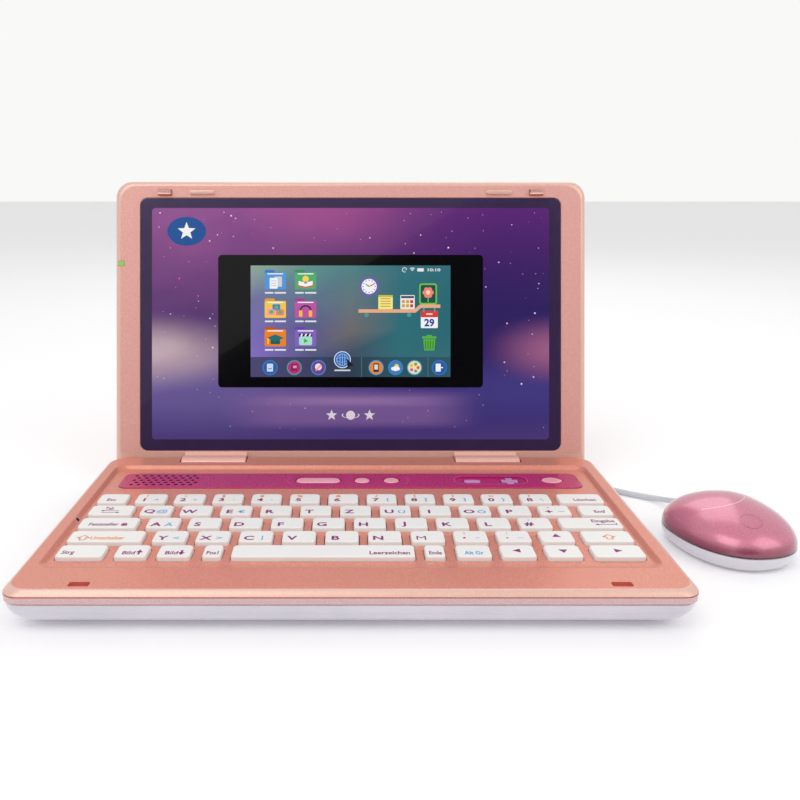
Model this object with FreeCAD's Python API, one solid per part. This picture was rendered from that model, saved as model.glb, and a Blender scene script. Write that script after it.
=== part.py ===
"""Toy laptop computer with a corded mouse.

Frame: millimetres, +Z up, front towards -Y, origin on the desk under the middle of the base.
The lid stands open at its rest angle. The lid's pieces are drawn flat, with the hinge axis
as their X axis, +Y up the lid and +Z out of the screen, and are then turned into place.
"""
import FreeCAD, Part
import math
import os

from FreeCAD import Placement, Rotation, Vector

os.makedirs("parts", exist_ok=True)

# ---------------------------------------------------------------- driving dimensions
HALF_WIDTH = 131.9            # base, at the pink band
FRONT_Y = -82.25              # front outline of the base
REAR_Y = 80.05                # rear wall of the base
DECK_Z = 18.0                 # top of the deck above the desk
DECK_BEVEL = 2.15
GROOVE_HEIGHT = 0.5           # groove between the pink band and the bevel
GROOVE_DEPTH = 0.25
FOOT_HEIGHT = 1.5
WALL = 2.0
SEAM_Z = 12.4                 # joint between the deck shell and the bottom shell
BAND_BOTTOM_Z = 12.65
BOTTOM_TOP_Z = 12.15
UNDER_INSET = 12.0            # how far the bottom shell curves in under the base
FRONT_RADIUS = 7.5
REAR_RADIUS = 9.0

WELL_HALF = 125.0             # sunken keyboard area
WELL_FRONT_Y = -62.0
WELL_REAR_Y = 64.45
WELL_DEPTH = 2.0
WELL_RADIUS = 5.0
WELL_SLOPE = 2.0              # run of the well's side walls, then of its front and rear walls
WELL_FRONT_RUN = 6.0
WELL_REAR_RUN = 1.5
WELL_FLOOR_Z = DECK_Z - WELL_DEPTH

HINGE_Y = 75.16               # hinge axis, parallel to X
HINGE_Z = 14.1
REST_TILT = 14.35             # lid leans back from upright by this many degrees
FACE_OFFSET = 5.9             # lid's front face behind the hinge axis
LID_THICKNESS = 12.0
LID_HALF = 130.3
LID_LOW = 1.0                 # lower and upper edge, up the lid from the axis
LID_HIGH = 157.4
LID_RADIUS = 9.0
LID_SPLIT = 5.5               # depth of the bezel, the rest is the back shell
KNUCKLE_RADIUS = 5.0
KNUCKLE_INNER = 57.0          # X span of each hinge knuckle
KNUCKLE_OUTER = 92.0
NOTCH_GAP = 0.7
NOTCH_FRONT_Y = 69.55
NOTCH_FLOOR_Z = 7.6
TUB_WALL = 1.5
PIN_RADIUS = 1.5
PIN_CLEARANCE = 0.05

PANEL_HALF = 116.6            # display panel in the lid
PANEL_LOW = 7.93
PANEL_HIGH = 148.03
PANEL_RADIUS = 4.3
LCD_HALF = 55.4
LCD_LOW = 48.73
LCD_HIGH = 110.53
LCD_CASE = (5.0, 8.0, 4.0, 3.4)       # the screen's case beyond its picture: sides, below, above; thickness
LCD_CASE_RADIUS = 1.5

KEY_DEPTH = 12.5
KEY_PITCH_Y = 15.15
KEY_FIRST_Y = 15.35           # centre line of the rear row of keys
KEY_TOP_Z = 17.85
KEY_RADIUS = 1.8
KEY_DRAFT = 0.7
KEY_GAP = 0.45                # between a key and its hole in the deck
KEY_LIP = 0.95                # retaining lip under the deck, proud of the key
KEY_LIP_THICKNESS = 1.0
KEY_WALL = 1.6                # sides and roof of a hollow key
KEY_HOLLOW_RADIUS = 0.8
STEM_RADIUS = 1.6             # stem that pushes the switch sheet
STEM_REACH = 2.0              # how far a stem goes below the top of the lip
LETTER_WIDTH = 14.8
LETTER_PITCH = 18.4
PLATE_THICKNESS = 1.6
PLATE_BOTTOM_Z = WELL_FLOOR_Z - PLATE_THICKNESS
KEY_LIP_Z = PLATE_BOTTOM_Z - 0.5

MOUSE_X = 174.6
MOUSE_Y = 2.7
MOUSE_YAW = 11.5              # degrees, its nose turned towards -X
MOUSE_HALF = 26.5
MOUSE_NOSE = 26.5             # length ahead of the widest line, and behind it
MOUSE_TAIL = 35.1
MOUSE_HEIGHT = 24.7
MOUSE_SEAM = 7.9
MOUSE_SQUARENESS = 2.25       # exponent of the plan outline
MOUSE_DOME = (1.6, 2.24)      # exponents of the dome's profile
MOUSE_UNDER = 4.2             # how far the underside curves in

CORD_RADIUS = 1.5


# ---------------------------------------------------------------- helpers
def save(shape, name):
    """Write one node and report its size, so that a bad solid shows at once."""
    if not shape.isValid():
        print("INVALID", name)
    shape.exportStep("parts/" + name + ".step")
    extent = shape.BoundBox
    print("%-20s solids %2d  volume %9.0f  x %.1f..%.1f  y %.1f..%.1f  z %.1f..%.1f" % (
        name, len(shape.Solids), shape.Volume,
        extent.XMin, extent.XMax, extent.YMin, extent.YMax, extent.ZMin, extent.ZMax))


def group(solids):
    return Part.makeCompound(solids)


def rounded_wire(x0, x1, y0, y1, z, front_radius, rear_radius=None):
    """Closed rectangle with rounded corners at height z, the y0 side first."""
    rear_radius = front_radius if rear_radius is None else rear_radius
    corners = [
        (x1 - front_radius, y0 + front_radius, front_radius, -90),
        (x1 - rear_radius, y1 - rear_radius, rear_radius, 0),
        (x0 + rear_radius, y1 - rear_radius, rear_radius, 90),
        (x0 + front_radius, y0 + front_radius, front_radius, 180),
    ]
    arcs = []
    for cx, cy, radius, start in corners:
        points = []
        for turn in (0, 45, 90):
            angle = math.radians(start + turn)
            points.append(Vector(cx + radius * math.cos(angle), cy + radius * math.sin(angle), z))
        arcs.append(points)
    edges = []
    for index, points in enumerate(arcs):
        following = arcs[(index + 1) % 4]
        edges.append(Part.Arc(*points).toShape())
        edges.append(Part.LineSegment(points[2], following[0]).toShape())
    return Part.Wire(edges)


def slab(x0, x1, y0, y1, z0, z1, radius):
    face = Part.Face(rounded_wire(x0, x1, y0, y1, z0, radius))
    return face.extrude(Vector(0, 0, z1 - z0))


def loft(wires):
    return Part.makeLoft(wires, True, True)


def tapered(x0, x1, y0, y1, z0, z1, radius, inset):
    """Slab whose top is inset all round by the given amount."""
    low = rounded_wire(x0, x1, y0, y1, z0, radius)
    high = rounded_wire(x0 + inset, x1 - inset, y0 + inset, y1 - inset, z1, max(radius - inset, 0.4))
    return loft([low, high])


def box(x0, x1, y0, y1, z0, z1):
    return Part.makeBox(x1 - x0, y1 - y0, z1 - z0, Vector(x0, y0, z0))


def disc(x, y, z0, z1, radius):
    return Part.makeCylinder(radius, z1 - z0, Vector(x, y, z0))


def rod(x0, x1, y, z, radius):
    return Part.makeCylinder(radius, x1 - x0, Vector(x0, y, z), Vector(1, 0, 0))


def base_outline(z, inset):
    """Outline of the base at height z, pulled in by inset; corners keep their roundness."""
    return rounded_wire(
        -HALF_WIDTH + inset, HALF_WIDTH - inset, FRONT_Y + inset, REAR_Y - inset, z,
        FRONT_RADIUS, REAR_RADIUS)


def place_lid(shape):
    """Turn a piece drawn flat in the lid's own frame to its place on the open lid."""
    moved = shape.copy()
    moved.Placement = Placement(
        Vector(0, HINGE_Y, HINGE_Z), Rotation(Vector(1, 0, 0), 90 - REST_TILT))
    return moved


def place_mouse(shape):
    moved = shape.copy()
    moved.Placement = Placement(
        Vector(MOUSE_X, MOUSE_Y, 0), Rotation(Vector(0, 0, 1), MOUSE_YAW))
    return moved


# ---------------------------------------------------------------- keyboard layout
def key_run(name, row, left, count):
    """Row of equal letter keys from the left edge of its first one."""
    starts = [left + LETTER_PITCH * index for index in range(count)]
    return name, row, [(start, start + LETTER_WIDTH) for start in starts]


KEY_NODES = [
    ("key_escape", 0, [(-120.8, -106.5)]),
    key_run("keys_digits", 0, -102.9, 11),
    ("key_delete_back", 0, [(99.3, 120.8)]),
    ("key_tab", 1, [(-120.8, -100.3)]),
    key_run("keys_upper_letters", 1, -97.1, 11),
    ("key_remove", 1, [(105.7, 120.8)]),
    ("key_caps_lock", 2, [(-120.8, -94.6)]),
    key_run("keys_middle_letters", 2, -90.8, 10),
    ("key_enter", 2, [(93.1, 120.8)]),
    ("key_shift_left", 3, [(-120.8, -88.5)]),
    key_run("keys_lower_letters", 3, -84.7, 9),
    ("key_arrow_up", 3, [(80.9, 95.7)]),
    ("key_shift_right", 3, [(99.3, 120.8)]),
    ("key_control", 4, [(-120.8, -100.9)]),
    ("key_page_up", 4, [(-96.8, -83.1)]),
    ("key_page_down", 4, [(-79.4, -65.3)]),
    ("key_home", 4, [(-60.8, -52.7)]),
    ("key_space", 4, [(-49.1, 26.7)]),
    ("key_end", 4, [(30.4, 39.0)]),
    ("key_alt", 4, [(43.4, 58.0)]),
    ("key_arrow_left", 4, [(61.6, 76.2)]),
    ("key_arrow_down", 4, [(80.2, 95.2)]),
    ("key_arrow_right", 4, [(99.3, 120.8)]),
]


def row_centre(row):
    return KEY_FIRST_Y - KEY_PITCH_Y * row


def key_cap(x0, x1, row):
    """One key: a drafted cap, open below, on a retaining lip that stays under the deck."""
    y0 = row_centre(row) - KEY_DEPTH / 2
    y1 = row_centre(row) + KEY_DEPTH / 2
    cap = tapered(x0, x1, y0, y1, KEY_LIP_Z, KEY_TOP_Z, KEY_RADIUS, KEY_DRAFT)
    lip = slab(x0 - KEY_LIP, x1 + KEY_LIP, y0 - KEY_LIP, y1 + KEY_LIP,
               KEY_LIP_Z - KEY_LIP_THICKNESS, KEY_LIP_Z, KEY_RADIUS)
    hollow = slab(x0 + KEY_WALL, x1 - KEY_WALL, y0 + KEY_WALL, y1 - KEY_WALL,
                  KEY_LIP_Z - KEY_LIP_THICKNESS, KEY_TOP_Z - KEY_WALL, KEY_HOLLOW_RADIUS)
    stem = disc((x0 + x1) / 2, row_centre(row), KEY_LIP_Z - STEM_REACH, KEY_TOP_Z - KEY_WALL / 2, STEM_RADIUS)
    return cap.fuse(lip).cut(hollow).fuse(stem)


def key_hole(x0, x1, row):
    y0 = row_centre(row) - KEY_DEPTH / 2
    y1 = row_centre(row) + KEY_DEPTH / 2
    return slab(x0 - KEY_GAP, x1 + KEY_GAP, y0 - KEY_GAP, y1 + KEY_GAP,
                PLATE_BOTTOM_Z - 1, DECK_Z, KEY_RADIUS + KEY_GAP)


# ---------------------------------------------------------------- control strip
STRIP_HALF = 117.2
STRIP_FRONT_Y = 33.75
STRIP_REAR_Y = 55.35
STRIP_TOP_Z = WELL_FLOOR_Z + 0.6
BUTTON_Y = 44.6
BUTTON_TOP_Z = STRIP_TOP_Z + 0.2
BUTTON_GAP = 0.4
BUTTON_LIP = 0.9
BUTTON_LIP_Z = KEY_LIP_Z - 0.2
BUTTON_LIP_RADIUS = 1.0
VOLUME_TOP_Z = STRIP_TOP_Z - 0.3
STRIP_RADIUS = 4.5
STRIP_BEVEL = 0.4
POCKET_X = (53.6, 90.1)       # window in the strip round the two volume buttons
POCKET_HALF_DEPTH = 5.6
POCKET_RADIUS = 4.0
PLUS_ARM = 1.8                # half the width of the plus sign's arms
PLUS_RADIUS = 1.0

# name, x0, x1, depth in Y, corner radius, top of the cap
BUTTONS = [
    ("button_wide", -27.9, -5.2, 7.8, 3.85, BUTTON_TOP_Z),
    ("button_round_left", 2.0, 9.9, 7.8, 3.85, BUTTON_TOP_Z),
    ("button_round_right", 16.9, 24.8, 7.8, 3.85, BUTTON_TOP_Z),
    ("button_volume_down", 58.1, 66.7, 4.0, 1.8, VOLUME_TOP_Z),
    ("button_volume_up", 77.2, 85.9, 8.7, 2.0, VOLUME_TOP_Z),
    ("button_pointer", 97.8, 108.5, 8.4, 4.1, BUTTON_TOP_Z),
]


def button_outline(name, x0, x1, depth, radius, z0, z1, grow=0.0):
    """Outline solid of a button; the volume-up one is a plus sign."""
    y0 = BUTTON_Y - depth / 2 - grow
    y1 = BUTTON_Y + depth / 2 + grow
    if name != "button_volume_up":
        return slab(x0 - grow, x1 + grow, y0, y1, z0, z1, radius + grow)
    arm = PLUS_ARM + grow
    middle = (x0 + x1) / 2
    across = slab(x0 - grow, x1 + grow, BUTTON_Y - arm, BUTTON_Y + arm, z0, z1, PLUS_RADIUS)
    along = slab(middle - arm, middle + arm, y0, y1, z0, z1, PLUS_RADIUS)
    return across.fuse(along).removeSplitter()


def button(name, x0, x1, depth, radius, top):
    """One button: its cap, a retaining lip under the deck and a stem."""
    cap = button_outline(name, x0, x1, depth, radius, BUTTON_LIP_Z, top)
    reach = depth / 2 + BUTTON_LIP
    lip = slab(x0 - BUTTON_LIP, x1 + BUTTON_LIP, BUTTON_Y - reach, BUTTON_Y + reach,
               BUTTON_LIP_Z - KEY_LIP_THICKNESS, BUTTON_LIP_Z, BUTTON_LIP_RADIUS)
    stem = disc((x0 + x1) / 2, BUTTON_Y, KEY_LIP_Z - STEM_REACH, KEY_LIP_Z, STEM_RADIUS)
    return cap.fuse(lip).fuse(stem).removeSplitter()


def button_holes(z0, z1):
    holes = []
    for name, x0, x1, depth, radius, top in BUTTONS:
        holes.append(button_outline(name, x0, x1, depth, radius, z0, z1, BUTTON_GAP))
    return holes


SPEAKER_X = -95.0
SPEAKER_COLUMNS = 9
SPEAKER_COLUMN_PITCH = 3.9
SPEAKER_HOLE_PITCH = 3.0
SPEAKER_HOLE_RADIUS = 1.0


def speaker_holes(z0, z1):
    """Nine columns of round holes, four and five to a column in turn."""
    holes = []
    for column in range(SPEAKER_COLUMNS):
        count = 4 if column % 2 == 0 else 5
        x = SPEAKER_X + (column - (SPEAKER_COLUMNS - 1) / 2) * SPEAKER_COLUMN_PITCH
        for index in range(count):
            y = BUTTON_Y + (index - (count - 1) / 2) * SPEAKER_HOLE_PITCH
            holes.append(disc(x, y, z0, z1, SPEAKER_HOLE_RADIUS))
    return holes


def control_strip():
    """Raised strip behind the keys, pierced for the speaker and the buttons."""
    body = tapered(-STRIP_HALF, STRIP_HALF, STRIP_FRONT_Y, STRIP_REAR_Y,
                   WELL_FLOOR_Z, STRIP_TOP_Z, STRIP_RADIUS, STRIP_BEVEL)
    window = slab(POCKET_X[0], POCKET_X[1], BUTTON_Y - POCKET_HALF_DEPTH, BUTTON_Y + POCKET_HALF_DEPTH,
                  WELL_FLOOR_Z - 1, DECK_Z, POCKET_RADIUS)
    holes = button_holes(WELL_FLOOR_Z - 1, DECK_Z) + speaker_holes(WELL_FLOOR_Z - 1, DECK_Z)
    return body.cut([window] + holes)


# ---------------------------------------------------------------- base
FRONT_POST_TOP = DECK_Z - WALL + 0.4
REAR_POST_TOP = WELL_FLOOR_Z - 0.2
SCREW_POSTS = [                # x, y and top of each screw post
    (-114.0, -66.5, FRONT_POST_TOP), (-80.0, -66.5, FRONT_POST_TOP),
    (80.0, -66.5, FRONT_POST_TOP), (114.0, -66.5, FRONT_POST_TOP),
    (-114.0, 65.5, REAR_POST_TOP), (0.0, 65.5, REAR_POST_TOP), (114.0, 65.5, REAR_POST_TOP),
]
POST_RADIUS = 3.2
SCREW_RADIUS = 1.25
SCREW_HEAD_RADIUS = 2.2
BATTERY_X = (-71.0, 71.0)     # bay for three cells in line under the palm rest
BATTERY_Y = (-66.4, -53.9)
BATTERY_DOOR_Z = 3.1
DOOR_GAP = 0.2
DOOR_SEAT_MARGIN = 1.0        # the door's seat is this much larger than the bay
DOOR_TAB = (-4.2, 4.2, -55.0, -45.6)  # tab at the door's rear edge that takes its screw
DOOR_SCREW = (0.0, -49.6)
DOOR_SCREW_SEAT_Z = 2.6
DOOR_POST_TOP = 8.4
SCREW_HEAD_HEIGHT = 1.4
SCREW_SLOT_HALF = (1.4, 0.25)
SUPPORT_RADIUS = 2.0          # posts that carry the main board and the switch sheet
SUPPORT_GAP = 0.05
BAY_WALL = 1.8
BAY_TOP_Z = 11.0
POST_SPLIT_Z = 12.1           # lower posts end and upper posts start here
SCREW_SEAT_Z = 3.9
SCREW_TIP_GAP = 1.4           # a screw's tip ends this far below the top of its post
FOOT_SINK = 0.8               # depth of the recess that holds a foot
TUB_GAP = 0.06
RIM_INSET = 0.5
BOTTOM_STEPS = 6
CELL_RADIUS = 5.2             # size of an AAA cell
CELL_LENGTH = 44.5
CELL_Y = -60.15
CELL_Z = 8.6
CELL_NUB = (1.9, 1.0)         # radius and height of a cell's raised contact
CONTACT_HALF_WIDTH = 4.0
CONTACT_Z = (4.2, 10.9)
SPRING_RADII = (3.8, 2.2)
SLOT_X = 102.8                # latch slots near the front of the deck
SLOT_Y = -75.95
SLOT_HALF_WIDTH = 4.0
SLOT_HALF_DEPTH = 1.9
SOCKET_X = 100.0
SOCKET_Z = 5.0
SOCKET_RADIUS = 2.9           # round mouse socket in the rear wall
SOCKET_BORE = 1.75
SOCKET_BORE_DEPTH = 13.5
SOCKET_START_Y = 62.0
SOCKET_FACE_Y = 76.8
FOOT_RADIUS = 6.0
FEET = [(-105, -56), (105, -56), (-105, 56), (105, 56)]
BOARD = (-78.0, 112.0, 27.0, 60.0)    # main board, under the control strip
BOARD_Z = (8.2, 9.8)
CHIPS = [(-20, -4, 36, 52), (20, 32, 38, 50), (60, 68, 30, 36)]
CHIP_HEIGHT = 1.1
BOARD_POSTS = [(-70, 33), (-70, 54), (20, 33), (104, 33), (104, 54)]
SHEET = (-123.0, 123.0, -52.0, 22.0)  # switch sheet under the keys
SHEET_Z = (8.7, 10.2)
SHEET_POSTS = [(-110, -38), (-55, -38), (0, -38), (55, -38), (110, -38),
               (-110, 8), (-55, 8), (0, 8), (55, 8), (110, 8)]
STATUS_X = (-124.5, -122.8)   # small dark window at the left end of the well
STATUS_Y = (-11.9, -7.1)
STATUS_GAP = 0.1
SPEAKER_RADIUS = 14.0
MAGNET_RADIUS = 8.0
SPEAKER_LAYERS = (2.8, 3.6, 1.4)      # height of its magnet, cone and rim
CHEEK = 3.0                   # wall of the deck shell at each side of a hinge notch


def hinge_notches(z_low, z_high):
    cuts = []
    for side in (-1, 1):
        inner = side * (KNUCKLE_INNER - NOTCH_GAP)
        outer = side * (KNUCKLE_OUTER + NOTCH_GAP)
        cuts.append(box(min(inner, outer), max(inner, outer), NOTCH_FRONT_Y, REAR_Y + 5, z_low, z_high))
    return cuts


def deck_shell():
    """Top half of the base: rim, sunken keyboard plate, hinge notches and screw posts."""
    outer = loft([
        base_outline(SEAM_Z, RIM_INSET),
        base_outline(BAND_BOTTOM_Z, 0.0),
        base_outline(DECK_Z - DECK_BEVEL - GROOVE_HEIGHT, 0.0),
        base_outline(DECK_Z - DECK_BEVEL, GROOVE_DEPTH),
        base_outline(DECK_Z - 0.5, DECK_BEVEL - 0.4),
        base_outline(DECK_Z, DECK_BEVEL),
    ])
    under_rim = loft([base_outline(SEAM_Z - 1, WALL + RIM_INSET),
                      base_outline(DECK_Z - WALL, WALL + RIM_INSET)])
    plate = slab(-WELL_HALF - WALL, WELL_HALF + WALL, WELL_FRONT_Y - WALL, WELL_REAR_Y + WALL,
                 PLATE_BOTTOM_Z, DECK_Z - 1.0, WELL_RADIUS)
    shell = outer.cut(under_rim).fuse(plate)
    well = loft([
        rounded_wire(-WELL_HALF + WELL_SLOPE, WELL_HALF - WELL_SLOPE, WELL_FRONT_Y + WELL_FRONT_RUN,
                     WELL_REAR_Y - WELL_REAR_RUN, WELL_FLOOR_Z, WELL_RADIUS),
        rounded_wire(-WELL_HALF, WELL_HALF, WELL_FRONT_Y, WELL_REAR_Y, DECK_Z, WELL_RADIUS + 1.5),
    ])
    shell = shell.cut(well)
    holes = []
    for name, row, spans in KEY_NODES:
        holes += [key_hole(x0, x1, row) for x0, x1 in spans]
    holes += button_holes(PLATE_BOTTOM_Z - 1, DECK_Z)
    holes += speaker_holes(PLATE_BOTTOM_Z - 1, DECK_Z)
    for side in (-1, 1):
        holes.append(box(side * SLOT_X - SLOT_HALF_WIDTH, side * SLOT_X + SLOT_HALF_WIDTH,
                         SLOT_Y - SLOT_HALF_DEPTH, SLOT_Y + SLOT_HALF_DEPTH, SEAM_Z, DECK_Z + 1))
    holes.append(status_block(STATUS_GAP))
    shell = shell.cut(holes)
    posts = [disc(x, y, POST_SPLIT_Z, top, POST_RADIUS) for x, y, top in SCREW_POSTS]
    tubs = []
    for tub in hinge_tubs(0.0):
        tubs.append(tub.common(outer))
        tubs.append(tub.common(bottom_envelope()))
    shell = shell.fuse(posts + tubs)
    shell = shell.cut(hinge_notches(NOTCH_FLOOR_Z, DECK_Z + 5))
    cuts = [disc(x, y, SEAM_Z - 2, top - 1.2, SCREW_RADIUS) for x, y, top in SCREW_POSTS]
    cuts += pin_bores()
    return shell.cut(cuts)


def hinge_tubs(grow):
    """Block round each hinge notch: its walls and floor belong to the deck shell."""
    tubs = []
    for side in (-1, 1):
        ends = sorted((side * (KNUCKLE_INNER - NOTCH_GAP - CHEEK - grow),
                       side * (KNUCKLE_OUTER + NOTCH_GAP + CHEEK + grow)))
        tubs.append(box(ends[0], ends[1], NOTCH_FRONT_Y - TUB_WALL - grow, REAR_Y + 2,
                        NOTCH_FLOOR_Z - TUB_WALL - grow, DECK_Z - WALL + 0.5))
    return tubs


def pin_spans():
    """X span of each hinge pin: through a knuckle and into the cheek at each side of it."""
    reach = NOTCH_GAP + CHEEK - 0.6
    return [(-KNUCKLE_OUTER - reach, -KNUCKLE_INNER + reach), (KNUCKLE_INNER - reach, KNUCKLE_OUTER + reach)]


def pin_bores():
    return [rod(x0, x1, HINGE_Y, HINGE_Z, PIN_RADIUS) for x0, x1 in pin_spans()]


def hinge_pins():
    return group([rod(x0, x1, HINGE_Y, HINGE_Z, PIN_RADIUS) for x0, x1 in pin_spans()])


def bottom_levels(wall, floor_z):
    """Outlines of the bottom shell from its floor up to its rim, set in by a wall thickness."""
    wires = []
    for index in range(BOTTOM_STEPS):
        bend = math.radians(90.0 * index / (BOTTOM_STEPS - 1))
        z = BOTTOM_TOP_Z - (BOTTOM_TOP_Z - floor_z) * math.cos(bend)
        inset = UNDER_INSET * (1 - math.sin(bend)) + RIM_INSET + wall
        wires.append(base_outline(z, inset))
    return wires


def bottom_envelope():
    return loft(bottom_levels(0.0, FOOT_HEIGHT) + [base_outline(SEAM_Z, RIM_INSET)])


def bottom_shell():
    """Bottom half of the base, with the battery bay and the screw posts."""
    outer = bottom_envelope()
    inner = loft(bottom_levels(WALL, FOOT_HEIGHT + WALL) + [base_outline(SEAM_Z + 1, RIM_INSET + WALL)])
    bay = slab(BATTERY_X[0] - BAY_WALL, BATTERY_X[1] + BAY_WALL, BATTERY_Y[0] - BAY_WALL,
               BATTERY_Y[1] + BAY_WALL, FOOT_HEIGHT, BAY_TOP_Z, 2.0)
    foot = FOOT_HEIGHT + 0.5
    posts = [disc(x, y, foot, POST_SPLIT_Z, POST_RADIUS) for x, y, top in SCREW_POSTS]
    posts.append(disc(*DOOR_SCREW, foot, DOOR_POST_TOP, POST_RADIUS))
    posts += [disc(x, y, foot, BOARD_Z[0] - SUPPORT_GAP, SUPPORT_RADIUS) for x, y in BOARD_POSTS]
    posts += [disc(x, y, foot, SHEET_Z[0] - SUPPORT_GAP, SUPPORT_RADIUS) for x, y in SHEET_POSTS]
    posts = [post.common(outer) for post in posts]
    shell = outer.cut(inner).fuse([bay.common(outer)] + posts)
    cuts = [
        slab(BATTERY_X[0], BATTERY_X[1], BATTERY_Y[0], BATTERY_Y[1], 0, BAY_TOP_Z + 1, 1.0),
        door_blank(0, BATTERY_DOOR_Z, DOOR_SEAT_MARGIN),
        disc(*DOOR_SCREW, 0, DOOR_POST_TOP - 0.4, SCREW_RADIUS),
        Part.makeCylinder(SOCKET_RADIUS, 20, Vector(SOCKET_X, SOCKET_START_Y, SOCKET_Z), Vector(0, 1, 0)),
    ]
    cuts += hinge_tubs(TUB_GAP)
    for x, y, top in SCREW_POSTS:
        cuts.append(disc(x, y, 0, SEAM_Z + 1, SCREW_RADIUS))
        cuts.append(disc(x, y, 0, SCREW_SEAT_Z, SCREW_HEAD_RADIUS + 0.2))
    for x, y in FEET:
        cuts.append(disc(x, y, 0, FOOT_HEIGHT + FOOT_SINK, FOOT_RADIUS))
    return shell.cut(cuts)


def door_blank(z0, z1, margin):
    """Plan shape of the battery door with its screw tab, grown from the bay by a margin."""
    grow = margin - DOOR_SEAT_MARGIN
    plate = slab(BATTERY_X[0] - margin, BATTERY_X[1] + margin, BATTERY_Y[0] - margin, BATTERY_Y[1] + margin,
                 z0, z1, 1.5 + grow)
    x0, x1, y0, y1 = DOOR_TAB
    tab = slab(x0 - grow, x1 + grow, y0, y1 + grow, z0, z1, 1.5 + grow)
    return plate.fuse(tab).removeSplitter()


def battery_door():
    """Flat door in the underside, with a finger notch and a screw in its tab."""
    plate = door_blank(FOOT_HEIGHT + 0.05, BATTERY_DOOR_Z, DOOR_SEAT_MARGIN - DOOR_GAP)
    notch = slab(-6, 6, BATTERY_Y[0] + 1.0, BATTERY_Y[0] + 3.0, 0, FOOT_HEIGHT + 0.7, 0.9)
    hole = disc(*DOOR_SCREW, 0, BATTERY_DOOR_Z + 1, SCREW_RADIUS + PIN_CLEARANCE)
    seat = disc(*DOOR_SCREW, 0, DOOR_SCREW_SEAT_Z, SCREW_HEAD_RADIUS + DOOR_GAP)
    return plate.cut([notch, hole, seat])


def battery_cells():
    """Three cells end to end, each with its small raised contact."""
    cells = []
    for index in (-1, 0, 1):
        middle = index * CELL_LENGTH
        shoulder = middle + CELL_LENGTH / 2 - CELL_NUB[1]
        can = rod(middle - CELL_LENGTH / 2, shoulder, CELL_Y, CELL_Z, CELL_RADIUS)
        nub = rod(shoulder, middle + CELL_LENGTH / 2, CELL_Y, CELL_Z, CELL_NUB[0])
        cells.append(can.fuse(nub))
    return group(cells)


def battery_contacts():
    """A flat contact at one end of the bay and a pressed spring contact at the other."""
    end = 1.5 * CELL_LENGTH
    y0 = CELL_Y - CONTACT_HALF_WIDTH
    y1 = CELL_Y + CONTACT_HALF_WIDTH
    flat = box(end, BATTERY_X[1] - 0.1, y0, y1, CONTACT_Z[0], CONTACT_Z[1])
    leaf_x = BATTERY_X[0] + 0.7
    leaf = box(BATTERY_X[0] + 0.1, leaf_x, y0, y1, CONTACT_Z[0], CONTACT_Z[1])
    spring = Part.makeCone(SPRING_RADII[0], SPRING_RADII[1], -end - leaf_x,
                           Vector(leaf_x, CELL_Y, CELL_Z), Vector(1, 0, 0))
    return group([flat, leaf.fuse(spring)])


def rubber_feet():
    """Round pads under the base and four small pads under the mouse."""
    pads = [disc(x, y, 0, FOOT_HEIGHT + FOOT_SINK, FOOT_RADIUS) for x, y in FEET]
    for x, y in MOUSE_PADS:
        pads.append(place_mouse(disc(x, y, 0, MOUSE_FLOOR_Z, MOUSE_PAD_RADIUS)))
    return group(pads)


def screw(x, y, seat_z, top_z, head_height=SCREW_HEAD_HEIGHT):
    """Screw with a crossed head below seat_z and its shank up to top_z."""
    long_half, short_half = SCREW_SLOT_HALF
    head_z = seat_z - head_height
    slot_top = head_z + head_height / 2
    head = disc(x, y, head_z, seat_z, SCREW_HEAD_RADIUS)
    slot_a = box(x - long_half, x + long_half, y - short_half, y + short_half, head_z - 0.1, slot_top)
    slot_b = box(x - short_half, x + short_half, y - long_half, y + long_half, head_z - 0.1, slot_top)
    return head.fuse(disc(x, y, seat_z - 0.1, top_z, SCREW_RADIUS)).cut([slot_a, slot_b])


def case_screws():
    """Screws that join the two halves of the base, and the battery door's own."""
    screws = [screw(x, y, SCREW_SEAT_Z, top - SCREW_TIP_GAP) for x, y, top in SCREW_POSTS]
    screws.append(screw(*DOOR_SCREW, DOOR_SCREW_SEAT_Z, DOOR_POST_TOP - 0.5, 1.0))
    return group(screws)


def main_board():
    x0, x1, y0, y1 = BOARD
    board = slab(x0, x1, y0, y1, BOARD_Z[0], BOARD_Z[1], 2.0)
    return board.fuse([box(*chip, BOARD_Z[1], BOARD_Z[1] + CHIP_HEIGHT) for chip in CHIPS])


def speaker():
    """Speaker against the underside of the deck: rim above, cone and magnet below."""
    magnet_height, cone_height, rim_height = SPEAKER_LAYERS
    rim_z = PLATE_BOTTOM_Z - SUPPORT_GAP - rim_height
    cone_z = rim_z - cone_height
    magnet = disc(SPEAKER_X, BUTTON_Y, cone_z - magnet_height, cone_z, MAGNET_RADIUS)
    cone = Part.makeCone(MAGNET_RADIUS, SPEAKER_RADIUS, cone_height, Vector(SPEAKER_X, BUTTON_Y, cone_z))
    rim = disc(SPEAKER_X, BUTTON_Y, rim_z, rim_z + rim_height, SPEAKER_RADIUS)
    return magnet.fuse([cone, rim])


def key_membrane():
    """Thin switch sheet under all the keys."""
    return slab(*SHEET, *SHEET_Z, 3.0)


def status_block(grow):
    return box(STATUS_X[0] - grow, STATUS_X[1] + grow, STATUS_Y[0] - grow, STATUS_Y[1] + grow,
               WELL_FLOOR_Z - 0.2 - grow, DECK_Z - 0.5 + grow)


def status_window():
    return status_block(0.0)


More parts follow.
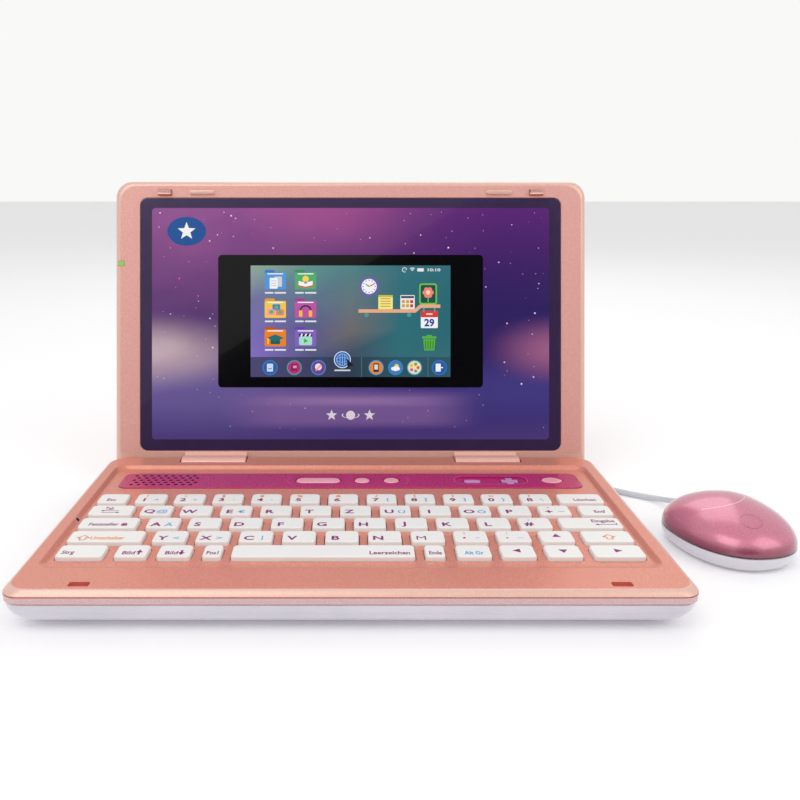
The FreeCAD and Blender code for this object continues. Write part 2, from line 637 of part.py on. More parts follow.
def mouse_socket():
    forward = Vector(0, 1, 0)
    barrel = Part.makeCylinder(SOCKET_RADIUS, SOCKET_FACE_Y - SOCKET_START_Y,
                               Vector(SOCKET_X, SOCKET_START_Y, SOCKET_Z), forward)
    bore = Part.makeCylinder(SOCKET_BORE, SOCKET_BORE_DEPTH + 1,
                             Vector(SOCKET_X, SOCKET_FACE_Y - SOCKET_BORE_DEPTH, SOCKET_Z), forward)
    return barrel.cut(bore)


# ---------------------------------------------------------------- lid, drawn flat
FACE_Z = -FACE_OFFSET
BACK_Z = FACE_Z - LID_THICKNESS
SPLIT_Z = FACE_Z - LID_SPLIT
BEZEL_PLATE = 2.0
LENS_SINK = 0.2
LENS_THICKNESS = 1.2
ART_THICKNESS = 0.6
HOOK_T = 151.0                # up the lid from the axis
HOOK_LENGTH = 2.8
HOOK_HALF_WIDTH = 3.0
HOOK_HALF_THICKNESS = 0.6
HOOK_ROOT = 1.2               # depth of the hook's root in the lid
BARB_REACH = 1.0
BARB_HEIGHT = 0.9
RECESS = (4.0, 1.9, 1.7, 1.0)         # hook recess: half width, below, above and depth
BUMPER_X = 82.2
BUMPER_HALF = (7.0, 1.1)
BUMPER_HEIGHT = 1.5
LID_SCREWS = [(-122.0, 14.0), (122.0, 14.0), (-122.0, 144.0), (122.0, 144.0)]
LID_BOSS_RADIUS = 2.9
LID_SCREW_SINK = 1.8
LID_FACE_EDGE = [(2.0, 0.0), (0.5, 1.2), (0.0, 2.3)]             # depth below the face, inset
LID_BACK_EDGE = [(0.0, 5.0), (0.7, 2.8), (2.2, 0.9), (4.0, 0.1)]  # height above the back, inset
PANEL_LEDGE = 2.5             # width of the ledge that carries the display panel
PANEL_GAP = 0.1
LED_T = 111.6
LED_X = (-128.8, -125.4)
LED_HALF = 1.4
LED_DEPTH = 1.2
KNUCKLE_FOOT = (22.0, 1.8)    # length and thickness of the knuckle's foot inside the lid
NECK_LOW = -1.5               # the knuckle's neck, along the lid
NECK_TOP = 4.6


def lid_outline(z, inset):
    return rounded_wire(-LID_HALF + inset, LID_HALF - inset, LID_LOW + inset * 0.3, LID_HIGH - inset,
                        z, 2.5, LID_RADIUS)


def neck_slots(grow):
    """Openings in the lid's lower edge that the hinge knuckles' necks pass through."""
    slots = []
    for side in (-1, 1):
        ends = sorted((side * (KNUCKLE_INNER - grow), side * (KNUCKLE_OUTER + grow)))
        slots.append(box(ends[0], ends[1], -3, NECK_TOP + grow, SPLIT_Z - 0.01, FACE_Z + 1))
    return slots


def lid_bezel():
    """Front frame of the lid with the panel window, the latch hooks and their recesses."""
    outer = loft([lid_outline(SPLIT_Z, 0.0)]
                 + [lid_outline(FACE_Z - down, inset) for down, inset in LID_FACE_EDGE])
    cavity = slab(-LID_HALF + WALL, LID_HALF - WALL, LID_LOW + WALL, LID_HIGH - WALL,
                  SPLIT_Z - 1, FACE_Z - BEZEL_PLATE, 6.0)
    bosses = [disc(x, t, SPLIT_Z, FACE_Z - 1.0, LID_BOSS_RADIUS) for x, t in LID_SCREWS]
    frame = outer.cut(cavity).fuse(bosses)
    cuts = [
        panel_slab(PANEL_GAP, FACE_Z - LENS_SINK - LENS_THICKNESS, FACE_Z + 1, PANEL_RADIUS),
        panel_slab(-PANEL_LEDGE, SPLIT_Z, FACE_Z, PANEL_RADIUS - 2),
        box(LED_X[0] - PANEL_GAP, LED_X[1] + PANEL_GAP,
            LED_T - LED_HALF - PANEL_GAP, LED_T + LED_HALF + PANEL_GAP,
            FACE_Z - LED_DEPTH, FACE_Z + 1),
    ]
    half_width, below, above, depth = RECESS
    for side in (-1, 1):
        x = side * SLOT_X
        cuts.append(slab(x - half_width, x + half_width, HOOK_T - below, HOOK_T + above,
                         FACE_Z - depth, FACE_Z + 1, 0.6))
    cuts += neck_slots(PANEL_GAP)
    cuts += [disc(x, t, SPLIT_Z - 1, FACE_Z - 2.2, SCREW_RADIUS) for x, t in LID_SCREWS]
    frame = frame.cut(cuts)
    hooks = []
    for side in (-1, 1):
        x = side * SLOT_X
        x0 = x - HOOK_HALF_WIDTH
        x1 = x + HOOK_HALF_WIDTH
        tip = FACE_Z + HOOK_LENGTH
        blade = box(x0, x1, HOOK_T - HOOK_HALF_THICKNESS, HOOK_T + HOOK_HALF_THICKNESS,
                    FACE_Z - HOOK_ROOT, tip)
        barb = box(x0, x1, HOOK_T - BARB_REACH, HOOK_T + HOOK_HALF_THICKNESS, tip - BARB_HEIGHT, tip)
        hooks += [blade, barb]
    return frame.fuse(hooks).removeSplitter()


def lid_back_shell():
    """Back of the lid: a shallow tray with a rounded edge and four screw bosses."""
    outer = loft([lid_outline(BACK_Z + up, inset) for up, inset in LID_BACK_EDGE]
                 + [lid_outline(SPLIT_Z - 0.4, 0.0), lid_outline(SPLIT_Z, 0.3)])
    cavity = loft([
        rounded_wire(-LID_HALF + 7, LID_HALF - 7, LID_LOW + 4, LID_HIGH - 7, BACK_Z + WALL, 5.0),
        rounded_wire(-LID_HALF + 2.6, LID_HALF - 2.6, LID_LOW + 2, LID_HIGH - 2.6, BACK_Z + 4.0, 6.0),
        rounded_wire(-LID_HALF + 2.2, LID_HALF - 2.2, LID_LOW + 2, LID_HIGH - 2.2, SPLIT_Z + 1, 6.0),
    ])
    bosses = [disc(x, t, BACK_Z + 1.0, SPLIT_Z, LID_BOSS_RADIUS) for x, t in LID_SCREWS]
    shell = outer.cut(cavity).fuse(bosses)
    cuts = [disc(x, t, BACK_Z - 1, SPLIT_Z + 1, SCREW_RADIUS) for x, t in LID_SCREWS]
    cuts += [disc(x, t, BACK_Z - 1, BACK_Z + LID_SCREW_SINK, SCREW_HEAD_RADIUS + 0.2) for x, t in LID_SCREWS]
    return shell.cut(cuts)


def lid_screws():
    return group([screw(x, t, BACK_Z + LID_SCREW_SINK, FACE_Z - 2.4) for x, t in LID_SCREWS])


def hinge_knuckles():
    """Two knuckles that turn on the pins, each with a neck and a foot inside the lid."""
    knuckles = []
    for side in (-1, 1):
        ends = sorted((side * KNUCKLE_INNER, side * KNUCKLE_OUTER))
        barrel = rod(ends[0], ends[1], 0, 0, KNUCKLE_RADIUS)
        neck = box(ends[0], ends[1], NECK_LOW, NECK_TOP, SPLIT_Z + 0.1, 0)
        foot = box(ends[0], ends[1], 0, KNUCKLE_FOOT[0], SPLIT_Z + 0.1, SPLIT_Z + 0.1 + KNUCKLE_FOOT[1])
        bore = rod(ends[0] - 1, ends[1] + 1, 0, 0, PIN_RADIUS + PIN_CLEARANCE)
        knuckles.append(barrel.fuse([neck, foot]).cut(bore).removeSplitter())
    return group(knuckles)


def panel_slab(grow, z0, z1, radius):
    """Slab with the display panel's outline, grown or shrunk all round."""
    return slab(-PANEL_HALF - grow, PANEL_HALF + grow, PANEL_LOW - grow, PANEL_HIGH + grow, z0, z1, radius)


def display_lens():
    return panel_slab(0.0, FACE_Z - LENS_SINK - LENS_THICKNESS, FACE_Z - LENS_SINK, PANEL_RADIUS)


def artwork_panel():
    """Printed sheet behind the lens, open where the screen shows."""
    top = FACE_Z - LENS_SINK - LENS_THICKNESS
    sheet = panel_slab(-PANEL_LEDGE - 0.2, top - ART_THICKNESS, top, PANEL_RADIUS - 2.2)
    return sheet.cut(slab(-LCD_HALF, LCD_HALF, LCD_LOW, LCD_HIGH, top - 1, top + 1, 0.5))


def lcd_module():
    top = FACE_Z - LENS_SINK - LENS_THICKNESS - ART_THICKNESS
    side, below, above, thickness = LCD_CASE
    return slab(-LCD_HALF - side, LCD_HALF + side, LCD_LOW - below, LCD_HIGH + above,
                top - thickness, top, LCD_CASE_RADIUS)


def lid_bumpers():
    pads = []
    along, across = BUMPER_HALF
    for x in (-BUMPER_X, BUMPER_X):
        pads.append(slab(x - along, x + along, HOOK_T - across, HOOK_T + across,
                         FACE_Z, FACE_Z + BUMPER_HEIGHT, 1.0))
    return group(pads)


def lid_light():
    return box(LED_X[0], LED_X[1], LED_T - LED_HALF, LED_T + LED_HALF, FACE_Z - LED_DEPTH, FACE_Z - 0.02)


# ---------------------------------------------------------------- mouse
MOUSE_FLOOR_Z = 1.0
MOUSE_WALL = 1.8
MOUSE_SEAM_GAP = 0.4          # each half stops this far short of the seam
MOUSE_FLOOR = 1.6             # thickness of the mouse's floor
MOUSE_PADS = [(-13, 10), (13, 10), (-13, -18), (13, -18)]
MOUSE_PAD_RADIUS = 3.5
MOUSE_CLICK_Y = -30.0         # axis of the click hinge, near the tail
PIVOT_RADIUS = 1.2
PIVOT_HALF = 6.0              # half the length of the pivot bar
PIVOT_WEB = (2.0, 1.0, 15.0)  # half width, half thickness and top of the web that carries the bar
PIVOT_POST = (3.0, 5.5, 1.8)  # inner and outer X of each post, and half its thickness
PIVOT_POST_TOP = MOUSE_SEAM + 2.0
SWITCH = (-3.0, 3.0, 8.0, 14.0)
SWITCH_TOP = 9.5
PLUNGER_RADIUS = 1.5
PLUNGER_Z = (10.1, 21.8)      # rib of the cover that presses the switch
MOUSE_BOARD = (-13.5, 13.5, -22.0, 15.5)
MOUSE_BOARD_Z = (3.4, 4.8)
SENSOR = (-5.0, 5.0, -9.0, 1.0)
SENSOR_TOP = 7.8
SENSOR_WINDOW = (0.0, -4.0, 4.0)      # centre and radius of the hole in the mouse's floor
RELIEF_Z = 6.0
RELIEF_RADIUS = 2.5
RELIEF_COLLAR_Y = 16.5
RELIEF_START = 25.5           # where the collar ends and the taper starts
RELIEF_LENGTH = 15.0
RELIEF_GAP = 0.9              # round the collar in the moving cover
OUTLINE_POINTS = 28
DOME_SCALES = (0.985, 0.94, 0.86, 0.74, 0.58, 0.38, 0.16)
UNDER_STEPS = 5


def mouse_ring(scale, z, grow=0.0):
    """Closed plan curve of the mouse, scaled about its centre, at height z."""
    points = []
    for index in range(OUTLINE_POINTS):
        angle = 2 * math.pi * index / OUTLINE_POINTS
        c = math.cos(angle)
        s = math.sin(angle)
        power = 2 / MOUSE_SQUARENESS
        x = math.copysign(abs(c) ** power, c) * (MOUSE_HALF * scale + grow)
        reach = (MOUSE_NOSE if s > 0 else MOUSE_TAIL) * scale + grow
        y = math.copysign(abs(s) ** power, s) * reach
        points.append(Vector(x, y, z))
    curve = Part.BSplineCurve()
    curve.interpolate(points, PeriodicFlag=True)
    return Part.Wire(curve.toShape())


def dome_height(scale):
    first, second = MOUSE_DOME
    return MOUSE_SEAM + (MOUSE_HEIGHT - MOUSE_SEAM) * (1 - scale ** first) ** (1 / second)


def dome(wall, base_z):
    """Domed solid; wall sets it in from the outer surface."""
    rings = [mouse_ring(1.0, base_z, -wall)]
    for scale in DOME_SCALES:
        rings.append(mouse_ring(scale, dome_height(scale) - wall, -wall * scale))
    return loft(rings)


def relief_passage(gap):
    """Round passage for the strain relief, through the mouse's nose."""
    return Part.makeCylinder(RELIEF_RADIUS + gap, 30, Vector(0, 10, RELIEF_Z), Vector(0, 1, 0))


def mouse_cover():
    """Upper half: the whole cover is the button, on a pivot bar near its tail."""
    shell = dome(0.0, MOUSE_SEAM + MOUSE_SEAM_GAP).cut(dome(MOUSE_WALL, MOUSE_SEAM - 1.0))
    bar = rod(-PIVOT_HALF, PIVOT_HALF, MOUSE_CLICK_Y, MOUSE_SEAM, PIVOT_RADIUS)
    half_width, half_thickness, web_top = PIVOT_WEB
    web = box(-half_width, half_width, MOUSE_CLICK_Y - half_thickness, MOUSE_CLICK_Y + half_thickness,
              MOUSE_SEAM, web_top)
    plunger = disc((SWITCH[0] + SWITCH[1]) / 2, (SWITCH[2] + SWITCH[3]) / 2, PLUNGER_Z[0], PLUNGER_Z[1],
                   PLUNGER_RADIUS)
    return shell.cut(relief_passage(RELIEF_GAP)).fuse([bar, web, plunger])


def mouse_bottom():
    """Lower half, with two posts that hold the cover's pivot bar."""
    top = MOUSE_SEAM - MOUSE_SEAM_GAP
    rings = []
    for index in range(UNDER_STEPS):
        bend = math.radians(90.0 * index / (UNDER_STEPS - 1))
        z = top - (top - MOUSE_FLOOR_Z) * math.cos(bend)
        rings.append(mouse_ring(1.0, z, -MOUSE_UNDER * (1 - math.sin(bend))))
    outer = loft(rings)
    floor_top = MOUSE_FLOOR_Z + MOUSE_FLOOR
    room = loft([mouse_ring(1.0, floor_top, -MOUSE_UNDER - 1.2),
                 mouse_ring(1.0, top + 1, -MOUSE_WALL)])
    window = disc(SENSOR_WINDOW[0], SENSOR_WINDOW[1], 0, floor_top + 1, SENSOR_WINDOW[2])
    inner, outside, half_thickness = PIVOT_POST
    posts = []
    for side in (-1, 1):
        ends = sorted((side * inner, side * outside))
        posts.append(box(ends[0], ends[1], MOUSE_CLICK_Y - half_thickness, MOUSE_CLICK_Y + half_thickness,
                         floor_top - 0.2, PIVOT_POST_TOP))
    bore = rod(-PIVOT_HALF, PIVOT_HALF, MOUSE_CLICK_Y, MOUSE_SEAM, PIVOT_RADIUS + PIN_CLEARANCE)
    return outer.cut(room).fuse(posts).cut([relief_passage(0.0), window, bore])


def mouse_board():
    x0, x1, y0, y1 = MOUSE_BOARD
    board = slab(x0, x1, y0, y1, MOUSE_BOARD_Z[0], MOUSE_BOARD_Z[1], 2.0)
    switch = box(*SWITCH, MOUSE_BOARD_Z[1], SWITCH_TOP)
    sensor = box(*SENSOR, MOUSE_BOARD_Z[1], SENSOR_TOP)
    return board.fuse([switch, sensor])


def mouse_strain_relief():
    forward = Vector(0, 1, 0)
    collar = Part.makeCylinder(RELIEF_RADIUS, RELIEF_START - RELIEF_COLLAR_Y,
                               Vector(0, RELIEF_COLLAR_Y, RELIEF_Z), forward)
    taper = Part.makeCone(RELIEF_RADIUS, CORD_RADIUS + 0.2, RELIEF_LENGTH,
                          Vector(0, RELIEF_START, RELIEF_Z), forward)
    return collar.fuse(taper)


# ---------------------------------------------------------------- cord
COIL_X = 116.5
COIL_Y = 124.0
COIL_MEAN = 16.5
COIL_HALF_BAND = 3.0          # two turns side by side, two layers high
COIL_HEIGHT = 6.0
PLUG_RADIUS = 2.4
PLUG_BODY_END = 88.0
PLUG_RELIEF_END = 95.0
PLUG_PIN_LENGTH = 12.8


def relief_end():
    """Where the cord leaves the mouse's strain relief."""
    turn = math.radians(MOUSE_YAW)
    reach = RELIEF_START + RELIEF_LENGTH
    return Vector(MOUSE_X - reach * math.sin(turn), MOUSE_Y + reach * math.cos(turn), RELIEF_Z)


CORD_ROUTE = [
    (165.4, 53.2, 2.6),
    (158.0, 60.4, 1.55),
    (146.3, 68.0, 1.5),
    (137.6, 77.0, 1.5),
    (133.6, 89.5, 1.5),
    (132.8, 106.0, 1.5),
    (133.0, 122.0, 1.5),
]

TAIL_ROUTE = [
    (100.0, PLUG_RELIEF_END, SOCKET_Z),
    (100.9, 109.0, 4.8),
    (100.0, 122.0, 4.5),
]


def cord_tube(points, name):
    """Round tube along straight runs joined by tangent arcs."""
    corners = [Vector(*point) if not isinstance(point, Vector) else point for point in points]
    edges = []
    start = corners[0]
    length = 0.0
    radii = []
    for index in range(1, len(corners) - 1):
        before = corners[index - 1] - corners[index]
        after = corners[index + 1] - corners[index]
        shorter = min(before.Length, after.Length)
        before.normalize()
        after.normalize()
        half_turn = (math.pi - before.getAngle(after)) / 2
        setback = 0.45 * shorter
        radius = setback / math.tan(half_turn)
        radii.append(radius)
        enter = corners[index] + before * setback
        leave = corners[index] + after * setback
        inward = before + after
        inward.normalize()
        centre = corners[index] + inward * (radius / math.cos(half_turn))
        middle = centre - inward * radius
        edges.append(Part.LineSegment(start, enter).toShape())
        edges.append(Part.Arc(enter, middle, leave).toShape())
        length += (enter - start).Length + 2 * half_turn * radius
        start = leave
    edges.append(Part.LineSegment(start, corners[-1]).toShape())
    length += (corners[-1] - start).Length
    path = Part.Wire(edges)
    first = corners[1] - corners[0]
    ring = Part.Wire(Part.Circle(corners[0], first, CORD_RADIUS).toShape())
    tube = path.makePipeShell([ring], True, False)
    expected = math.pi * CORD_RADIUS ** 2 * length
    print("%s length %.1f  volume %.1f of %.1f  radii %s" % (
        name, length, tube.Volume, expected, [round(radius, 1) for radius in radii]))
    return tube


def cord_coil():
    """Outer shape of the coil behind the base."""
    outer = disc(COIL_X, COIL_Y, 0, COIL_HEIGHT, COIL_MEAN + COIL_HALF_BAND)
    return outer.cut(disc(COIL_X, COIL_Y, -1, COIL_HEIGHT + 1, COIL_MEAN - COIL_HALF_BAND))


def mouse_plug():
    """Plug of the mouse cord: a pin in the socket, a round body and a tapered relief."""
    forward = Vector(0, 1, 0)
    body_start = SOCKET_FACE_Y + 0.2
    pin = Part.makeCylinder(SOCKET_BORE - PIN_CLEARANCE, PLUG_PIN_LENGTH + 0.2,
                            Vector(SOCKET_X, SOCKET_FACE_Y - PLUG_PIN_LENGTH, SOCKET_Z), forward)
    body = Part.makeCylinder(PLUG_RADIUS, PLUG_BODY_END - body_start,
                             Vector(SOCKET_X, body_start, SOCKET_Z), forward)
    relief = Part.makeCone(PLUG_RADIUS, CORD_RADIUS + 0.2, PLUG_RELIEF_END - PLUG_BODY_END,
                           Vector(SOCKET_X, PLUG_BODY_END, SOCKET_Z), forward)
    return body.fuse([pin, relief])


# ---------------------------------------------------------------- write every node
def main():
    save(bottom_shell(), "base_bottom_shell")
    save(deck_shell(), "deck_shell")
    save(control_strip(), "control_strip")
    save(hinge_pins(), "hinge_pins")
    save(battery_door(), "battery_door")
    save(battery_cells(), "battery_cells")
    save(battery_contacts(), "battery_contacts")
    save(rubber_feet(), "rubber_feet")
    save(case_screws(), "case_screws")
    save(main_board(), "main_board")
    save(speaker(), "speaker")
    save(key_membrane(), "key_membrane")
    save(status_window(), "status_window")
    save(mouse_socket(), "mouse_socket")
    for values in BUTTONS:
        save(button(*values), values[0])
    for name, row, spans in KEY_NODES:
        save(group([key_cap(x0, x1, row) for x0, x1 in spans]), name)
    save(place_lid(lid_bezel()), "lid_bezel")
    save(place_lid(lid_back_shell()), "lid_back_shell")
    save(place_lid(hinge_knuckles()), "hinge_knuckles")
    save(place_lid(display_lens()), "display_lens")
    save(place_lid(artwork_panel()), "artwork_panel")
    save(place_lid(lcd_module()), "lcd_module")
    save(place_lid(lid_bumpers()), "lid_bumpers")
    save(place_lid(lid_screws()), "lid_screws")
    save(place_lid(lid_light()), "lid_light")
    save(place_mouse(mouse_bottom()), "mouse_bottom_shell")
    save(place_mouse(mouse_cover()), "mouse_cover")
    save(place_mouse(mouse_board()), "mouse_board")
    save(place_mouse(mouse_strain_relief()), "mouse_strain_relief")
    save(cord_tube([relief_end()] + CORD_ROUTE, "mouse_cord"), "mouse_cord")
    save(cord_coil(), "mouse_cord_coil")
    save(cord_tube(TAIL_ROUTE, "mouse_cord_tail"), "mouse_cord_tail")
    save(mouse_plug(), "mouse_plug")


main()
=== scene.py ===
"""Looks of the toy laptop and its mouse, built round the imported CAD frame. Metres."""

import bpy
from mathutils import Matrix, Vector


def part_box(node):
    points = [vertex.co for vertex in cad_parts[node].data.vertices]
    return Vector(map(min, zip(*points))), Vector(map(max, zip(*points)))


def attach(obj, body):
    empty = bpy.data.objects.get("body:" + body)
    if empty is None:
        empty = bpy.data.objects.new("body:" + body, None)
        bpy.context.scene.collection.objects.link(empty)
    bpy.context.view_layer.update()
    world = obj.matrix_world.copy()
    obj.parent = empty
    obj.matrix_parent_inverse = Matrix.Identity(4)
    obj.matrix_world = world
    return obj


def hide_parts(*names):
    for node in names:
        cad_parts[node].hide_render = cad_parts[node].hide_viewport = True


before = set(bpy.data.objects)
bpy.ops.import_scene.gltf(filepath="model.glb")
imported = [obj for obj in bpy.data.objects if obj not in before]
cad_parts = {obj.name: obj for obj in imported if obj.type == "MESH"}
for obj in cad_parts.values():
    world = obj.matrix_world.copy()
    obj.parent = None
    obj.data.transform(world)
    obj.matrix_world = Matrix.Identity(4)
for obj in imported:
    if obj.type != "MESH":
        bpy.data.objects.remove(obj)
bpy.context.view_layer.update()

import math
import random

import bmesh
import bpy
from mathutils import Euler, Matrix, Vector

MM = 0.001

# ------------------------------------------------------------------ sizes shared with the CAD model
HALF_WIDTH = 131.9 * MM
FRONT_Y = -82.25 * MM
REAR_Y = 80.05 * MM
DECK_Z = 18.0 * MM
SEAM_Z = 12.4 * MM
FOOT_Z = 1.5 * MM
BOTTOM_TOP_Z = 12.15 * MM
UNDER_INSET = 12.0 * MM
FRONT_RADIUS = 7.5 * MM
REAR_RADIUS = 9.0 * MM
WELL_HALF = 125.0 * MM
WELL_FRONT_Y = -62.0 * MM
WELL_REAR_Y = 64.45 * MM
WELL_FLOOR_Z = 16.0 * MM
HINGE = Vector((0.0, 75.16 * MM, 14.1 * MM))
REST_TILT = math.radians(14.35)
FACE_W = -5.9 * MM                # lid's face, measured from the hinge axis out of the screen
SPLIT_W = -11.4 * MM
BACK_W = -17.9 * MM
LID_HALF = 130.3 * MM
LID_LOW = 1.0 * MM
LID_HIGH = 157.4 * MM
LID_RADIUS = 9.0 * MM
PANEL_HALF = 116.6 * MM
PANEL_LOW = 7.93 * MM
PANEL_HIGH = 148.03 * MM
JUNCTION_T = 5.53 * MM            # where the deck's plane meets the lid's face, up the lid
CORD_RADIUS = 1.5 * MM
KNUCKLE_X = (57.0 * MM, 92.0 * MM)
CASE_SCREWS = ((-114, -66.5), (-80, -66.5), (80, -66.5), (114, -66.5), (-114, 65.5), (0, 65.5), (114, 65.5))
FOOT_PLACES = ((-105, -56), (-105, 56), (105, -56), (105, 56))
SCREW_HOLE = 2.4 * MM
LID_SCREWS = ((-122, 14), (-122, 144), (122, 14), (122, 144))

LID_TURN = Matrix.Translation(HINGE) @ Matrix.Rotation(math.pi / 2 - REST_TILT, 4, "X")


# ------------------------------------------------------------------ camera
CAMERA_PLACE = (0.0, -0.3774, 0.167)
CAMERA_LENS = 39.15               # mm, on a sensor 36 mm wide
CAMERA_SHIFT = 0.0618             # moves the view to the right, to take in the mouse


def make_camera():
    """Camera in front of the keyboard, looking down at the pitch at which the lid is seen square on."""
    data = bpy.data.cameras.new("camera")
    camera = bpy.data.objects.new("camera", data)
    bpy.context.scene.collection.objects.link(camera)
    camera.location = CAMERA_PLACE
    camera.rotation_euler = Euler((math.pi / 2 - REST_TILT, 0.0, 0.0))
    data.sensor_width = 36.0
    data.lens = CAMERA_LENS
    data.shift_x = CAMERA_SHIFT
    data.clip_start = 0.01
    data.clip_end = 20.0
    bpy.context.scene.camera = camera


make_camera()

# ------------------------------------------------------------------ materials
def srgb(red, green, blue):
    """Linear colour of an 8-bit sRGB one."""
    out = []
    for value in (red, green, blue):
        c = value / 255.0
        out.append(c / 12.92 if c <= 0.04045 else ((c + 0.055) / 1.055) ** 2.4)
    return (*out, 1.0)


def shader(name):
    material = bpy.data.materials.new(name)
    material.use_nodes = True
    nodes = material.node_tree.nodes
    return material, nodes, material.node_tree.links, nodes["Principled BSDF"]


def add_noise(nodes, links, scale, detail=3.0, roughness=0.55):
    place = nodes.new("ShaderNodeTexCoord")
    noise = nodes.new("ShaderNodeTexNoise")
    noise.inputs["Scale"].default_value = scale
    noise.inputs["Detail"].default_value = detail
    noise.inputs["Roughness"].default_value = roughness
    links.new(place.outputs["Object"], noise.inputs["Vector"])
    return noise


def ramp_between(nodes, links, value, low, high, start=0.35, end=0.65):
    ramp = nodes.new("ShaderNodeValToRGB")
    ramp.color_ramp.elements[0].position = start
    ramp.color_ramp.elements[0].color = low
    ramp.color_ramp.elements[1].position = end
    ramp.color_ramp.elements[1].color = high
    links.new(value, ramp.inputs["Fac"])
    return ramp


def span(nodes, links, value, low, high):
    mapped = nodes.new("ShaderNodeMapRange")
    mapped.inputs["From Min"].default_value = 0.3
    mapped.inputs["From Max"].default_value = 0.7
    mapped.inputs["To Min"].default_value = low
    mapped.inputs["To Max"].default_value = high
    links.new(value, mapped.inputs["Value"])
    return mapped.outputs["Result"]


def bump_from(nodes, links, value, distance):
    bump = nodes.new("ShaderNodeBump")
    bump.inputs["Distance"].default_value = distance
    bump.inputs["Strength"].default_value = 1.0
    links.new(value, bump.inputs["Height"])
    return bump.outputs["Normal"]


def plastic(name, colour, roughness=0.35, grain=900.0, depth=0.00002, vary=0.05, coat=0.0, coat_rough=0.1,
            metallic=0.0):
    """Moulded plastic: a slight colour drift, uneven gloss and a fine surface grain."""
    material, nodes, links, bsdf = shader(name)
    base = srgb(*colour)
    darker = tuple(c * (1 - vary) for c in base[:3]) + (1.0,)
    lighter = tuple(min(1.0, c * (1 + vary)) for c in base[:3]) + (1.0,)
    drift = add_noise(nodes, links, 35.0)
    links.new(ramp_between(nodes, links, drift.outputs["Fac"], darker, lighter).outputs["Color"],
              bsdf.inputs["Base Color"])
    fine = add_noise(nodes, links, grain, 2.0)
    links.new(span(nodes, links, fine.outputs["Fac"], roughness * 0.85, roughness * 1.15),
              bsdf.inputs["Roughness"])
    links.new(bump_from(nodes, links, fine.outputs["Fac"], depth), bsdf.inputs["Normal"])
    bsdf.inputs["Metallic"].default_value = metallic
    bsdf.inputs["Coat Weight"].default_value = coat
    bsdf.inputs["Coat Roughness"].default_value = coat_rough
    return material


def lacquer(name, colour, flake, metallic, roughness, coat, speckle=2600.0, depth=0.000005):
    """Metallic lacquer: fine bright flakes in a tinted base under a thin clear coat."""
    material, nodes, links, bsdf = shader(name)
    base = srgb(*colour)
    drift = add_noise(nodes, links, speckle, 1.0, 0.4)
    tint = ramp_between(nodes, links, drift.outputs["Fac"], base, srgb(*flake), 0.42, 0.72)
    links.new(tint.outputs["Color"], bsdf.inputs["Base Color"])
    fine = add_noise(nodes, links, speckle * 1.4, 1.0)
    links.new(span(nodes, links, fine.outputs["Fac"], roughness * 0.85, roughness * 1.2),
              bsdf.inputs["Roughness"])
    links.new(bump_from(nodes, links, fine.outputs["Fac"], depth), bsdf.inputs["Normal"])
    bsdf.inputs["Metallic"].default_value = metallic
    bsdf.inputs["Coat Weight"].default_value = coat
    bsdf.inputs["Coat Roughness"].default_value = 0.12
    return material


def paint_lower_shade(material, colour, reach):
    """Painted shade: deepen a lacquer over the given share of the piece's height, from its lower edge up,
    standing in for a darker reflection low on the piece.
    """
    nodes = material.node_tree.nodes
    links = material.node_tree.links
    socket = nodes["Principled BSDF"].inputs["Base Color"]
    before = socket.links[0].from_socket
    place = nodes.new("ShaderNodeTexCoord")
    split = nodes.new("ShaderNodeSeparateXYZ")
    links.new(place.outputs["Generated"], split.inputs["Vector"])
    fade = nodes.new("ShaderNodeMapRange")
    fade.interpolation_type = "SMOOTHSTEP"
    fade.inputs["From Min"].default_value = 0.0
    fade.inputs["From Max"].default_value = reach
    fade.inputs["To Min"].default_value = 0.85
    fade.inputs["To Max"].default_value = 0.0
    links.new(split.outputs["Z"], fade.inputs["Value"])
    mix = nodes.new("ShaderNodeMix")
    mix.data_type = "RGBA"
    links.new(fade.outputs["Result"], mix.inputs["Factor"])
    links.new(before, mix.inputs["A"])
    mix.inputs["B"].default_value = srgb(*colour)
    links.new(mix.outputs["Result"], socket)


def printed(name, roughness=0.3, glow=0.0, coat=0.0):
    """Ink whose colour is painted on the mesh, faintly mottled; a screen picture's also glows, painted light
    that keeps its colours bright whatever the lamps.
    """
    material, nodes, links, bsdf = shader(name)
    ink = nodes.new("ShaderNodeAttribute")
    ink.attribute_name = "ink"
    mottle = add_noise(nodes, links, 1500.0, 2.0)
    shade = ramp_between(nodes, links, mottle.outputs["Fac"], (0.94, 0.94, 0.94, 1), (1, 1, 1, 1))
    mix = nodes.new("ShaderNodeMix")
    mix.data_type = "RGBA"
    mix.blend_type = "MULTIPLY"
    mix.inputs["Factor"].default_value = 1.0
    links.new(ink.outputs["Color"], mix.inputs["A"])
    links.new(shade.outputs["Color"], mix.inputs["B"])
    links.new(mix.outputs["Result"], bsdf.inputs["Base Color"])
    bsdf.inputs["Roughness"].default_value = roughness
    bsdf.inputs["Coat Weight"].default_value = coat
    bsdf.inputs["Coat Roughness"].default_value = 0.03
    # painted light: the printed picture is made to glow and its base colour is kept almost black
    if glow:
        links.new(mix.outputs["Result"], bsdf.inputs["Emission Color"])
        bsdf.inputs["Emission Strength"].default_value = glow
        dark = nodes.new("ShaderNodeMix")
        dark.data_type = "RGBA"
        dark.inputs["Factor"].default_value = 0.92
        links.new(mix.outputs["Result"], dark.inputs["A"])
        dark.inputs["B"].default_value = (0.01, 0.01, 0.01, 1)
        links.new(dark.outputs["Result"], bsdf.inputs["Base Color"])
    return material


